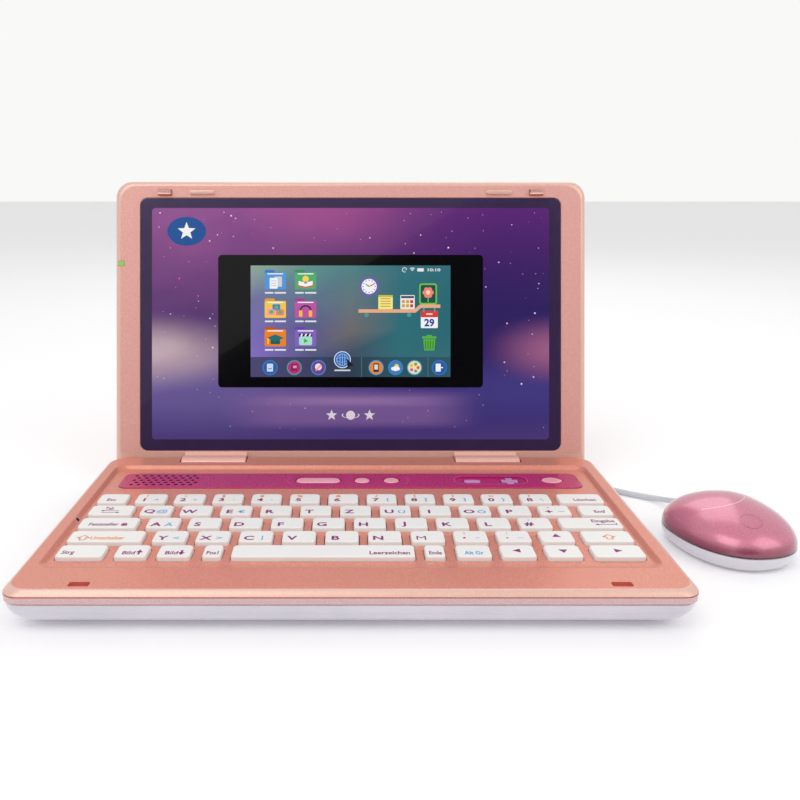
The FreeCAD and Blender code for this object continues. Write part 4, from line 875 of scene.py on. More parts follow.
def plus_mesh(x0, x1, depth, low, top, grow=0.0):
    """Plus sign, its corners square, as one closed solid with a bevelled rim."""
    middle = (x0 + x1) / 2
    loops = []
    for inset, z in ((0.0, low), (0.0, top - 0.4 * MM), (0.12 * MM, top - 0.12 * MM), (0.4 * MM, top)):
        arm = 1.8 * MM + grow - inset
        reach_x = (x1 - x0) / 2 + grow - inset
        reach_y = depth / 2 + grow - inset
        right = [(arm, -reach_y), (arm, -arm), (reach_x, -arm), (reach_x, arm), (arm, arm), (arm, reach_y)]
        corners = right + [(-x, -y) for x, y in right]
        loops.append([Vector((middle + x, BUTTON_Y + y, z)) for x, y in corners])
    return skin(loops)


def leaf_loops(x0, x1, depth, low, top, edge, grow=0.0):
    """Loops of a cap shaped like a small mouse: round at the left and drawn to a soft point at the right."""
    loops = []
    for inset, z in ((0.0, low), (0.0, top - edge), (edge * 0.3, top - edge * 0.3), (edge, top)):
        loop = []
        for angle in turns(48):
            c = math.cos(angle)
            lean = 1.0 - 0.3 * max(c, 0.0) ** 2
            x = (x0 + x1) / 2 + ((x1 - x0) / 2 + grow - inset) * c
            y = BUTTON_Y + (depth / 2 + grow - inset) * math.sin(angle) * lean - 0.05 * depth * max(c, 0.0)
            loop.append(Vector((x, y, z)))
        loops.append(loop)
    return loops


def make_strip():
    """Magenta strip with the speaker holes, the pocket of the volume buttons and the button openings."""
    loops = []
    profile = ((0.0, WELL_FLOOR_Z - 0.4 * MM), (0.0, 16.25 * MM), (0.12, 16.45 * MM), (0.35, 16.57 * MM),
               (0.7, STRIP_TOP_Z))
    for inset, z in profile:
        d = inset * MM
        loops.append(corner_loop(-STRIP_HALF + d, STRIP_HALF - d, STRIP_Y[0] + d, STRIP_Y[1] - d, z,
                                 4.5 * MM - d, steps=8))
    strip = new_object("control_strip_skin", skin(loops), [MAGENTA], "base")
    carve(strip, [block(*POCKET, BUTTON_Y - POCKET_HALF, BUTTON_Y + POCKET_HALF, 15.9 * MM, DECK_Z,
                        4.6 * MM, 8)])
    holes = []
    rows, columns = GRILLE
    for row in range(rows):
        for column in range(columns):
            x = (GRILLE_X + (column - columns // 2) * GRILLE_PITCH[0] + (row % 2) * GRILLE_SHIFT) * MM
            y = BUTTON_Y + (row - rows // 2) * GRILLE_PITCH[1] * MM
            holes.append(tube((x, y), GRILLE_HOLE, WELL_FLOOR_Z, DECK_Z, sides=20))
    # the hole walls take the dark magenta: painted shade inside the holes
    carve(strip, holes, HOLE_SHADE_RED)
    cutters = []
    gap = BUTTON_GAP
    for name, (x0, x1, depth, radius) in BUTTONS.items():
        if name == "button_volume_up":
            cutters.append(plus_mesh(x0 * MM, x1 * MM, depth * MM, CUT_LOW_Z, DECK_Z + 2 * MM, gap))
        elif name == "button_pointer":
            cutters.append(skin(leaf_loops(x0 * MM, x1 * MM, depth * MM, CUT_LOW_Z, DECK_Z, 0.0, gap)))
        else:
            cutters.append(block(x0 * MM - gap, x1 * MM + gap, BUTTON_Y - depth / 2 * MM - gap,
                                 BUTTON_Y + depth / 2 * MM + gap, CUT_LOW_Z, DECK_Z, radius * MM + gap, 8))
    carve(strip, cutters)
    soften(strip)
    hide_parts("control_strip")
    for name, (x0, x1, depth, radius) in BUTTONS.items():
        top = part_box(name)[1].z
        low = CAP_LOW_Z
        if name == "button_volume_up":
            mesh = plus_mesh(x0 * MM, x1 * MM, depth * MM, low, top)
        elif name == "button_pointer":
            mesh = skin(leaf_loops(x0 * MM, x1 * MM, depth * MM, low, top, 0.7 * MM))
        else:
            edge = 0.45 * MM if "volume" in name else 0.8 * MM
            mesh = skin(cap_loops(x0 * MM, x1 * MM, BUTTON_Y - depth / 2 * MM, BUTTON_Y + depth / 2 * MM,
                                  radius * MM, low, top, edge))
        lilac = "volume" in name
        piece = new_object(name + "_cap", mesh, [BUTTON_LILAC if lilac else BUTTON_PINK], name)
        soften(piece, 40.0)
        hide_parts(name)
    # painted highlight: lighter pink lines round the volume pocket and at the ends of the button row, where
    # their edges catch the light
    rim_highlights = Print(STRIP_TOP_Z)
    rim_highlights.arc(-25.9 * MM, BUTTON_Y, 6.4 * MM, 0.4 * MM, 125, 235, RIM_HIGHLIGHT_PINK)
    rim_highlights.arc(23.2 * MM, BUTTON_Y, 6.4 * MM, 0.4 * MM, -55, 55, RIM_HIGHLIGHT_PINK)
    rim = corner_loop(POCKET[0] - 0.3 * MM, POCKET[1] + 0.3 * MM, BUTTON_Y - 5.9 * MM, BUTTON_Y + 5.9 * MM, 0,
                      4.9 * MM, steps=8)
    rim_highlights.outline([(p.x, p.y) for p in rim], 0.45 * MM, RIM_HIGHLIGHT_PINK)
    rim_highlights.finish("strip_rim_highlight", INK, "base")


# ------------------------------------------------------------------ lid
LOW_SLOPE = 1.93                  # the bevel is this much wider along the lid's lower edge
LID_LOW_RADIUS = 2.5 * MM
PANEL_RADIUS = 4.3 * MM


def lid_loop(w, inset):
    return corner_loop(-LID_HALF + inset, LID_HALF - inset, LID_LOW + inset * LOW_SLOPE, LID_HIGH - inset, w,
                       LID_LOW_RADIUS, LID_RADIUS, steps=10)


def panel_loop(w, grow):
    return corner_loop(-PANEL_HALF - grow, PANEL_HALF + grow, PANEL_LOW - grow, PANEL_HIGH + grow, w,
                       PANEL_RADIUS, steps=10)


HOOK_T = 151.0 * MM
BUMPER_X = 82.2 * MM
LED_T = 111.6 * MM


def make_lid():
    """Front frame of the lid: bevelled rim, flat border and the window for the panel."""
    loops = [lid_loop(SPLIT_W, 0.35 * MM), lid_loop(SPLIT_W + 0.3 * MM, 0), lid_loop(FACE_W - 2.3 * MM, 0)]
    # bands 1 take the lighter edge lacquer: painted highlight on the lid's rounded rim
    bands = [1, 1]
    for up, inset in ((1.9, 0.08), (1.2, 0.5), (0.6, 1.15), (0.2, 1.8), (0.03, 2.3), (0.0, 2.8)):
        loops.append(lid_loop(FACE_W - up * MM, inset * MM))
        bands.append(1)
    for grow, w in ((0.55, 0.0), (0.3, -0.08), (0.12, -0.35), (0.1, -1.5)):
        loops.append(panel_loop(FACE_W + w * MM, grow * MM))
        bands.append(0)
    loops.append(panel_loop(FACE_W - 1.5 * MM, -2.5 * MM))
    loops.append(panel_loop(SPLIT_W, -2.5 * MM))
    bands += [0, 0, 0]
    bezel = new_object("bezel", lid_mesh(skin(loops, closed=True, bands=bands)), [BEZEL, EDGE_HIGHLIGHT_LACQUER], "lid")
    carve(bezel, [lid_mesh(block(x0, x1, -3 * MM, 4.7 * MM, SPLIT_W - MM, FACE_W + MM))
                  for x0, x1 in pair(56.9 * MM, 92.1 * MM)])
    recesses = [lid_mesh(block(x - SLOT_HALF[0], x + SLOT_HALF[0], HOOK_T - 1.9 * MM, HOOK_T + 1.7 * MM,
                               FACE_W - MM, FACE_W + MM, 0.6 * MM)) for x in (-SLOT_X, SLOT_X)]
    recesses.append(lid_mesh(block(-128.9 * MM, -125.3 * MM, LED_T - 1.5 * MM, LED_T + 1.5 * MM,
                                   FACE_W - 1.2 * MM, FACE_W + MM)))
    carve(bezel, recesses, ROSE)
    soften(bezel, 28.0)
    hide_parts("lid_bezel")
    hooks = []
    for x in (-SLOT_X, SLOT_X):
        for low, start in ((0.8, -1.2), (1.4, 1.9)):
            hooks.append(block(x - 3.5 * MM, x + 3.5 * MM, HOOK_T - low * MM, HOOK_T + 1.4 * MM,
                               FACE_W + start * MM, FACE_W + 2.8 * MM, 0.35 * MM))
    soften(new_object("latch_hooks", lid_mesh(merge(hooks)), [HOOK_LIT_PINK], "lid"))
    pads = [skin(cap_loops(x - 7 * MM, x + 7 * MM, HOOK_T - 1.1 * MM, HOOK_T + 1.1 * MM, MM,
                           FACE_W - 0.2 * MM, FACE_W + 1.5 * MM, 0.5 * MM)) for x in (-BUMPER_X, BUMPER_X)]
    bumpers = soften(new_object("bumpers", lid_mesh(merge(pads)), [EDGE_HIGHLIGHT_LACQUER], "lid"), 40.0)
    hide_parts("lid_bumpers")
    light = skin(cap_loops(-128.8 * MM, -125.4 * MM, LED_T - 1.4 * MM, LED_T + 1.4 * MM, 0.5 * MM,
                           FACE_W - 1.2 * MM, FACE_W - 0.02 * MM, 0.3 * MM, 4))
    lamp = soften(new_object("lid_lamp", lid_mesh(light), [LIGHT_GREEN], "lid"), 40.0)
    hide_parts("lid_light")


def make_back():
    """Back shell of the lid: a tray with a rounded edge, hollow inside, and its screw holes."""
    loops = []
    steps = 10
    for bend in quarter(steps):
        inset = 5.0 * MM * (1 - math.sin(bend))
        w = BACK_W + 4.2 * MM * (1 - math.cos(bend))
        loops.append(corner_loop(-LID_HALF + inset, LID_HALF - inset, LID_LOW + inset * 0.3,
                                 LID_HIGH - inset, w, LID_LOW_RADIUS, LID_RADIUS, steps=steps))
    loops += [lid_loop(SPLIT_W - 0.35 * MM, 0), lid_loop(SPLIT_W - 0.02 * MM, 0.4 * MM)]
    loops.append(corner_loop(-LID_HALF + 2.2 * MM, LID_HALF - 2.2 * MM, LID_LOW + 2 * MM, LID_HIGH - 2.2 * MM,
                             SPLIT_W - 0.02 * MM, 6 * MM, steps=steps))
    loops.append(corner_loop(-LID_HALF + 6 * MM, LID_HALF - 6 * MM, LID_LOW + 4 * MM, LID_HIGH - 6 * MM,
                             BACK_W + 2 * MM, 6 * MM, steps=steps))
    back = new_object("lid_back", lid_mesh(skin(loops)), [ROSE], "lid")
    carve(back, [lid_mesh(tube((x * MM, t * MM), SCREW_HOLE, BACK_W - MM, BACK_W + 1.8 * MM))
                 for x, t in LID_SCREWS])
    soften(back, 28.0)
    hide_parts("lid_back_shell")


def make_knuckles():
    """Hinge knuckles: each a barrel with rounded ends, a neck into the lid and an apron over the gap."""
    barrel = ((0.0, 4.6), (0.15, 5.0), (0.5, 5.2), (34.5, 5.2), (34.85, 5.0), (35.0, 4.6))
    apron = ((2.0, -6.4), (7.1, -6.4), (7.2, -5.8), (5.55, -4.1), (5.05, -1.2), (2.0, -1.2))
    meshes = []
    for x0, x1 in pair(*KNUCKLE_X):
        meshes.append(skin([[Vector((x0 + place * MM, radius * MM * math.cos(a), radius * MM * math.sin(a)))
                             for a in turns(48)] for place, radius in barrel]))
        meshes.append(block(x0 + 0.3 * MM, x1 - 0.3 * MM, -1.5 * MM, 4.6 * MM, SPLIT_W + 0.1 * MM, -MM))
        meshes.append(skin([[Vector((x, t * MM, w * MM)) for t, w in apron]
                            for x in (x0 + 0.4 * MM, x1 - 0.4 * MM)]))
    knuckles = soften(new_object("knuckles", lid_mesh(merge(meshes)), [KNUCKLE_LIT_ROSE], "lid"))
    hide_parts("hinge_knuckles")


# ------------------------------------------------------------------ display panel
PANEL_W = FACE_W - 0.2 * MM
ART_HALF = 110.1 * MM
ART_LOW = 8.6 * MM + JUNCTION_T
ART_HIGH = 136.9 * MM + JUNCTION_T


def height(value):
    """Distance up the lid, from the hinge axis, of a height in millimetres above the deck junction."""
    return value * MM + JUNCTION_T


def sky_material():
    """Purple night sky: a magenta corner, indigo depths, two pale glows and soft cloud."""
    material, nodes, links, bsdf = shader("night_sky")
    place = nodes.new("ShaderNodeUVMap")
    place.uv_map = "flat"
    split = nodes.new("ShaderNodeSeparateXYZ")
    links.new(place.outputs["UV"], split.inputs["Vector"])

    def node(kind, *inputs):
        made = nodes.new("ShaderNodeMath")
        made.operation = kind
        for index, value in enumerate(inputs):
            if isinstance(value, (int, float)):
                made.inputs[index].default_value = value
            else:
                links.new(value, made.inputs[index])
        return made.outputs[0]

    def tint(base, colour, amount):
        mix = nodes.new("ShaderNodeMix")
        mix.data_type = "RGBA"
        links.new(amount, mix.inputs["Factor"])
        links.new(base, mix.inputs["A"])
        mix.inputs["B"].default_value = srgb(*colour)
        return mix.outputs["Result"]

    def glow(cx, cy, rx, ry, soft, gain, corners=2.0):
        """Full strength inside an ellipse, fading over the outer share soft; more corners square it off."""
        dx = node("ABSOLUTE", node("DIVIDE", node("SUBTRACT", split.outputs["X"], cx), rx))
        dy = node("ABSOLUTE", node("DIVIDE", node("SUBTRACT", split.outputs["Y"], cy), ry))
        total = node("ADD", node("POWER", dx, corners), node("POWER", dy, corners))
        inside = node("DIVIDE", node("SUBTRACT", 1.0, node("POWER", total, 1.0 / corners)), soft)
        share = node("MINIMUM", node("MAXIMUM", inside, 0.0), 1.0)
        slope = node("SUBTRACT", 3.0, node("MULTIPLY", share, 2.0))
        smooth = node("MULTIPLY", node("MULTIPLY", share, share), slope)
        return node("MULTIPLY", smooth, gain)

    def wave(scale, low, high):
        noise = nodes.new("ShaderNodeTexNoise")
        noise.inputs["Scale"].default_value = scale
        noise.inputs["Detail"].default_value = 4.0
        links.new(place.outputs["UV"], noise.inputs["Vector"])
        return span(nodes, links, noise.outputs["Fac"], low, high)

    upward = nodes.new("ShaderNodeValToRGB")
    stops = [(0.0, (80, 60, 136)), (0.09, (66, 54, 131)), (0.2, (64, 53, 130)), (0.39, (52, 34, 106)),
             (0.57, (45, 28, 100)), (0.74, (60, 27, 104)), (0.89, (78, 28, 112)), (1.0, (90, 29, 118))]
    upward.color_ramp.elements[0].position = stops[0][0]
    upward.color_ramp.elements[0].color = srgb(*stops[0][1])
    upward.color_ramp.elements[1].position = stops[-1][0]
    upward.color_ramp.elements[1].color = srgb(*stops[-1][1])
    for position, colour in stops[1:-1]:
        upward.color_ramp.elements.new(position).color = srgb(*colour)
    links.new(split.outputs["Y"], upward.inputs["Fac"])
    colour = upward.outputs["Color"]
    cloud = wave(3.4, 0.74, 1.22)
    colour = tint(colour, (166, 92, 158), node("MULTIPLY", glow(0.1, 1.15, 0.86, 1.05, 1.2, 0.85), cloud))
    colour = tint(colour, (178, 80, 146), node("MULTIPLY", glow(0.46, 1.1, 0.34, 0.36, 1.0, 0.7), cloud))
    colour = tint(colour, (112, 98, 166), glow(0.15, 0.2, 0.62, 0.24, 0.9, 0.85))
    colour = tint(colour, (206, 182, 192), node("MULTIPLY", glow(-0.05, 0.375, 0.4, 0.19, 1.0, 1.0), cloud))
    colour = tint(colour, (72, 66, 148), glow(0.9, 0.22, 0.3, 0.16, 1.0, 0.6))
    colour = tint(colour, (166, 100, 144), glow(1.02, 0.385, 0.2, 0.17, 1.0, 1.0))
    colour = tint(colour, (132, 102, 168), glow(0.5, 0.13, 0.35, 0.095, 0.5, 0.8, 6.0))
    colour = tint(colour, (170, 136, 192), glow(0.5, 0.165, 0.32, 0.03, 1.0, 0.6, 4.0))
    links.new(colour, bsdf.inputs["Base Color"])
    bsdf.inputs["Roughness"].default_value = 0.25
    bsdf.inputs["Coat Weight"].default_value = 1.0
    bsdf.inputs["Coat Roughness"].default_value = 0.03
    return material


def make_panel():
    """Back-printed lens: a dark border, the night sky, and the screen's black frame, under gloss."""
    loops = [panel_loop(PANEL_W - 1.2 * MM, 0), panel_loop(PANEL_W - 0.25 * MM, 0),
             panel_loop(PANEL_W - 0.06 * MM, -0.08 * MM), panel_loop(PANEL_W, -0.28 * MM)]
    border = plastic("panel_border", (56, 38, 76), 0.2, grain=300.0, depth=0.000002, coat=1.0,
                     coat_rough=0.03)
    glass = soften(new_object("panel_glass", lid_mesh(skin(loops)), [border], "lid"))
    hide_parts("display_lens")
    bm = bmesh.new()
    flat = bm.loops.layers.uv.new("flat")
    loop = corner_loop(-ART_HALF, ART_HALF, ART_LOW, ART_HIGH, PANEL_W + 0.02 * MM, 2.0 * MM, steps=6)
    face = bm.faces.new([bm.verts.new(point) for point in loop])
    for corner in face.loops:
        x, y, _ = corner.vert.co
        corner[flat].uv = ((x + ART_HALF) / (2 * ART_HALF), (y - ART_LOW) / (ART_HIGH - ART_LOW))
    mesh = bpy.data.meshes.new("sky")
    bm.to_mesh(mesh)
    bm.free()
    new_object("panel_sky", lid_mesh(mesh), [sky_material()], "lid")


def make_stars(sheet):
    draw = random.Random(7)
    tints = [(255, 255, 255), (255, 220, 240), (235, 205, 255), (232, 90, 150)]
    for _ in range(STAR_DRAWS):
        x = draw.uniform(-ART_HALF + 2 * MM, ART_HALF - 2 * MM)
        t = draw.uniform(ART_LOW + 2 * MM, ART_HIGH - 2 * MM)
        upper = (t - ART_LOW) / (ART_HIGH - ART_LOW)
        if draw.random() > 0.18 + 0.82 * upper:
            continue
        size = 0.16 * MM + 0.4 * MM * draw.random() ** 3
        sheet.disc(x, t, size, draw.choice(tints), 2, 8)


SCREEN_HALF = 55.4 * MM
SCREEN_LOW = 43.2
SCREEN_HIGH = 105.0
STAR_DRAWS = 340
FRAME_HALF = 73.4 * MM            # black frame round the screen
FRAME_LOW = 37.4
FRAME_HIGH = 110.9


def make_badge(sheet):
    """Plain blue oval with a star."""
    x, t = -90.9 * MM, height(124.0)
    sheet.disc(x, t, 10.7 * MM, (0, 80, 156), 4, 64, 0.745)
    sheet.star(x, t, 5.2 * MM, (255, 255, 255), 5)


def make_symbols(sheet):
    """Generic row of a star, a ringed planet and a star below the screen."""
    t = height(22.0)
    white = (245, 240, 252)
    sheet.star(-10.5 * MM, t, 3.2 * MM, white, 4)
    sheet.star(10.5 * MM, t, 3.2 * MM, white, 4)
    sheet.disc(0, t, 2.5 * MM, white, 4, 32)
    sheet.arc(0, t, 4.6 * MM, 0.7 * MM, 150, 390, white, 5, 24, 0.36)


def screen_point(u, v):
    """Place on the screen: u and v run from 0 to 1 across and up it."""
    return (-SCREEN_HALF + 2 * SCREEN_HALF * u, height(SCREEN_LOW + (SCREEN_HIGH - SCREEN_LOW) * v))


WALLPAPER_U = (0.0, 0.3, 0.5, 0.75, 1.0)
WALLPAPER = [                      # height up the screen and the colours across it
    (0.0, [(120, 104, 176), (80, 84, 128), (56, 74, 94), (44, 100, 110), (52, 98, 108)]),
    (0.2, [(130, 108, 194), (84, 86, 132), (60, 76, 98), (42, 108, 118), (48, 106, 116)]),
    (0.42, [(118, 102, 178), (90, 90, 138), (108, 104, 106), (38, 108, 118), (36, 102, 112)]),
    (0.68, [(110, 108, 160), (90, 112, 138), (98, 116, 126), (38, 108, 120), (34, 104, 114)]),
    (1.0, [(142, 168, 150), (88, 142, 136), (72, 128, 130), (46, 112, 122), (40, 106, 118)]),
]
FOLDERS = [                        # body, tab, across, up, picture
    ((76, 148, 220), (50, 116, 200), 0.1234, 0.862, "page"),
    ((74, 172, 104), (52, 140, 84), 0.275, 0.862, "book"),
    ((246, 198, 66), (214, 158, 24), 0.1234, 0.606, "photos"),
    ((190, 82, 164), (160, 54, 138), 0.275, 0.606, "ears"),
    ((236, 130, 26), (184, 88, 18), 0.1234, 0.35, "cap"),
    ((134, 94, 194), (102, 60, 168), 0.275, 0.35, "film"),
]
PAPER = (244, 246, 250)
WOOD = (236, 172, 134)


def folder(sheet, x, t, body, tab):
    sheet.rect(x - 3.1 * MM, t + 4.6 * MM, 5.6 * MM, 3.0 * MM, tab, 5, 0.9 * MM)
    sheet.rect(x, t, 11.8 * MM, 9.4 * MM, body, 6, 0.7 * MM)
    sheet.rect(x, t + 3.9 * MM, 8.8 * MM, 0.6 * MM, PAPER, 7, 0.3 * MM)


def folder_picture(sheet, x, t, kind):
    """Small drawing on a folder."""
    if kind == "page":
        sheet.rect(x + 1.6 * MM, t + 0.2 * MM, 4.2 * MM, 5.6 * MM, (206, 210, 220), 7, 0.4 * MM)
        sheet.rect(x - 0.9 * MM, t - 0.7 * MM, 4.4 * MM, 6.0 * MM, PAPER, 8, 0.4 * MM)
        for step in range(3):
            y = t + (0.6 - 1.3 * step) * MM
            sheet.line(x - 2.4 * MM, y, x + 0.6 * MM, y, 0.3 * MM, (150, 176, 214), 9)
    if kind == "book":
        for side in (-1, 1):
            sheet.polygon([(x, t - 3.2 * MM), (x, t - 1.2 * MM), (x + side * 4.4 * MM, t - 0.2 * MM),
                           (x + side * 4.4 * MM, t - 2.4 * MM)], (226, 60, 60), 7)
            sheet.polygon([(x, t - 2.6 * MM), (x, t - 0.4 * MM), (x + side * 3.9 * MM, t + 0.6 * MM),
                           (x + side * 3.9 * MM, t - 1.8 * MM)], PAPER, 8)
        sheet.disc(x, t + 1.6 * MM, 1.8 * MM, (250, 214, 80), 9)
        sheet.rect(x, t - 0.3 * MM, 1.4 * MM, 1.2 * MM, (120, 130, 150), 9)
    if kind == "photos":
        prints = ((0.6, 1.8, (46, 130, 200)), (-2.2, -0.8, (246, 150, 176)), (2.6, -1.0, (236, 120, 130)))
        for dx, dy, tone in prints:
            sheet.rect(x + dx * MM, t + dy * MM, 4.4 * MM, 3.4 * MM, tone, 7, 0.6 * MM)
            sheet.disc(x + dx * MM, t + dy * MM, 1.1 * MM, (96, 176, 90), 8)
    if kind == "ears":
        sheet.arc(x, t - 0.4 * MM, 3.0 * MM, 0.9 * MM, 0, 180, (40, 44, 74), 7)
        for side in (-1, 1):
            sheet.rect(x + side * 2.7 * MM, t - 1.7 * MM, 1.9 * MM, 3.6 * MM, (248, 190, 50), 8, 0.7 * MM)
    if kind == "cap":
        sheet.rect(x, t - 1.6 * MM, 5.4 * MM, 2.6 * MM, (24, 92, 96), 7, 0.6 * MM)
        sheet.polygon([(x - 4.9 * MM, t + 0.6 * MM), (x, t - 1.4 * MM), (x + 4.9 * MM, t + 0.6 * MM),
                       (x, t + 2.6 * MM)], (28, 110, 112), 8)
        sheet.line(x - 4.0 * MM, t + 0.5 * MM, x - 4.0 * MM, t - 2.8 * MM, 0.7 * MM, (250, 210, 70), 9)
    if kind == "film":
        sheet.rect(x, t - 1.0 * MM, 7.2 * MM, 4.8 * MM, (164, 226, 206), 7, 0.8 * MM)
        sheet.rect(x, t + 2.2 * MM, 7.2 * MM, 1.5 * MM, (30, 34, 56), 8, 0.3 * MM)
        for dx in (-2.2, 0.1, 2.4):
            sheet.line(x + (dx - 0.4) * MM, t + 1.5 * MM, x + (dx + 0.4) * MM, t + 2.9 * MM, 0.8 * MM,
                       PAPER, 9)
        corners = ((-0.9, -2.3), (1.5, -1.0), (-0.9, 0.3))
        sheet.polygon([(x + dx * MM, t + dy * MM) for dx, dy in corners], (84, 170, 60), 8)


def make_wallpaper(sheet):
    for (v0, low), (v1, high) in zip(WALLPAPER, WALLPAPER[1:]):
        for index in range(len(WALLPAPER_U) - 1):
            u0, u1 = WALLPAPER_U[index], WALLPAPER_U[index + 1]
            corners = [screen_point(u0, v0), screen_point(u1, v0), screen_point(u1, v1), screen_point(u0, v1)]
            sheet.shaded(corners, [low[index], low[index + 1], high[index + 1], high[index]], 4)


def make_clock(sheet):
    x, t = screen_point(0.593, 0.812)
    sheet.disc(x, t, 5.2 * MM, (118, 84, 184), 5, 40)
    sheet.disc(x, t, 4.2 * MM, PAPER, 6, 40)
    for hour in range(12):
        angle = math.radians(30 * hour)
        sheet.disc(x + 3.4 * MM * math.sin(angle), t + 3.4 * MM * math.cos(angle), 0.35 * MM,
                   (60, 110, 180), 7, 10)
    sheet.line(x, t, x + 2.7 * MM, t + 1.3 * MM, 0.6 * MM, (232, 86, 40), 8)
    sheet.line(x, t, x - 1.8 * MM, t + 1.2 * MM, 0.6 * MM, (46, 150, 90), 8)


def make_shelf(sheet):
    """Stepped shelf with a note, a calculator and a framed flower on it."""
    left, shelf = screen_point(0.54, 0.592)
    right, upper = screen_point(0.949, 0.635)
    bend = screen_point(0.826, 0)[0]
    sheet.line(left, shelf, bend, shelf, 1.9 * MM, WOOD, 6)
    sheet.line(bend - 0.4 * MM, shelf, bend + 2.6 * MM, upper, 1.9 * MM, WOOD, 6)
    sheet.line(bend + 2.2 * MM, upper, right, upper, 1.9 * MM, WOOD, 6)
    for u in (0.58, 0.793):
        sheet.disc(screen_point(u, 0)[0], shelf - 2.2 * MM, 1.2 * MM, (74, 152, 152), 5)
    x = screen_point(0.675, 0)[0]
    sheet.rect(x, shelf + 4.9 * MM, 8.0 * MM, 7.8 * MM, (242, 238, 130), 6, 0.3 * MM)
    sheet.rect(x, shelf + 8.2 * MM, 8.0 * MM, 1.2 * MM, (206, 192, 84), 7)
    for step in range(4):
        y = shelf + (6.8 - 1.4 * step) * MM
        sheet.line(x - 2.8 * MM, y, x + 2.8 * MM, y, 0.4 * MM, (206, 96, 60), 7)
    x = screen_point(0.785, 0)[0]
    sheet.rect(x, shelf + 4.9 * MM, 8.0 * MM, 7.8 * MM, (236, 236, 232), 6, 0.5 * MM)
    sheet.rect(x, shelf + 7.7 * MM, 7.2 * MM, 1.2 * MM, (54, 66, 104), 7)
    for across in range(3):
        for down in range(2):
            tone = (214, 50, 50) if across == 2 else (216, 164, 40)
            sheet.rect(x + (across - 1) * 2.3 * MM, shelf + (5.2 - 2.3 * down) * MM, 1.7 * MM, 1.7 * MM,
                       tone, 7)
    x = screen_point(0.888, 0)[0]
    y = upper + 6.8 * MM
    sheet.rect(x, y, 9.9 * MM, 11.7 * MM, (112, 192, 74), 6, 1.4 * MM)
    sheet.rect(x, y, 8.2 * MM, 9.9 * MM, (18, 78, 70), 7, 0.8 * MM)
    sheet.line(x, y - 4.6 * MM, x, y, 0.6 * MM, (112, 192, 74), 8)
    for petal in range(6):
        angle = math.radians(60 * petal)
        sheet.disc(x + 1.9 * MM * math.cos(angle), y + (0.8 + 1.9 * math.sin(angle)) * MM, 1.25 * MM,
                   (244, 132, 120), 9, 16)
    sheet.disc(x, y + 0.8 * MM, 1.2 * MM, (252, 216, 176), 10, 16)


def make_calendar(sheet):
    x, t = screen_point(0.894, 0.516)
    for dx in (-3.0, 3.0):
        sheet.line(x + dx * MM, t + 4.0 * MM, x + dx * MM, t + 7.0 * MM, 0.35 * MM, (130, 196, 212), 7)
    sheet.rect(x, t, 9.4 * MM, 9.6 * MM, PAPER, 6, 0.6 * MM)
    sheet.rect(x, t + 3.0 * MM, 9.4 * MM, 3.6 * MM, (216, 60, 48), 7, 0.6 * MM)
    sheet.rect(x, t + 3.0 * MM, 3.6 * MM, 0.8 * MM, (250, 220, 214), 8, 0.3 * MM)
    sheet.text("29", x, t - 1.8 * MM, 5.6 * MM, (28, 62, 150), layer=8, stretch=1.0, weight=0.035)


def make_bin(sheet):
    x, t = screen_point(0.894, 0.30)
    leaf = (88, 176, 62)
    sheet.polygon([(x - 2.8 * MM, t - 3.8 * MM), (x + 2.8 * MM, t - 3.8 * MM), (x + 3.4 * MM, t + 2.4 * MM),
                   (x - 3.4 * MM, t + 2.4 * MM)], leaf, 6)
    sheet.rect(x, t + 3.4 * MM, 8.0 * MM, 1.3 * MM, leaf, 6, 0.5 * MM)
    sheet.rect(x, t + 4.3 * MM, 3.0 * MM, 1.0 * MM, leaf, 6, 0.4 * MM)
    for dx in (-1.9, -0.6, 0.7, 2.0):
        sheet.line(x + (dx - 0.05) * MM, t - 3.0 * MM, x + (dx - 0.05) * 1.15 * MM, t + 1.6 * MM, 0.5 * MM,
                   (44, 124, 40), 7)


DOCK = [                           # across, ring, fill, mark
    (0.097, (44, 124, 196), (38, 88, 168), "page"), (0.2187, (30, 156, 156), (186, 44, 122), "square"),
    (0.339, (58, 134, 200), (108, 60, 152), "star"), (0.628, (74, 150, 204), (240, 132, 30), "phone"),
    (0.725, (44, 132, 200), (62, 124, 190), "cloud"), (0.82, (52, 160, 200), (240, 226, 176), "blots"),
    (0.944, (40, 120, 196), (34, 86, 166), "door"),
]


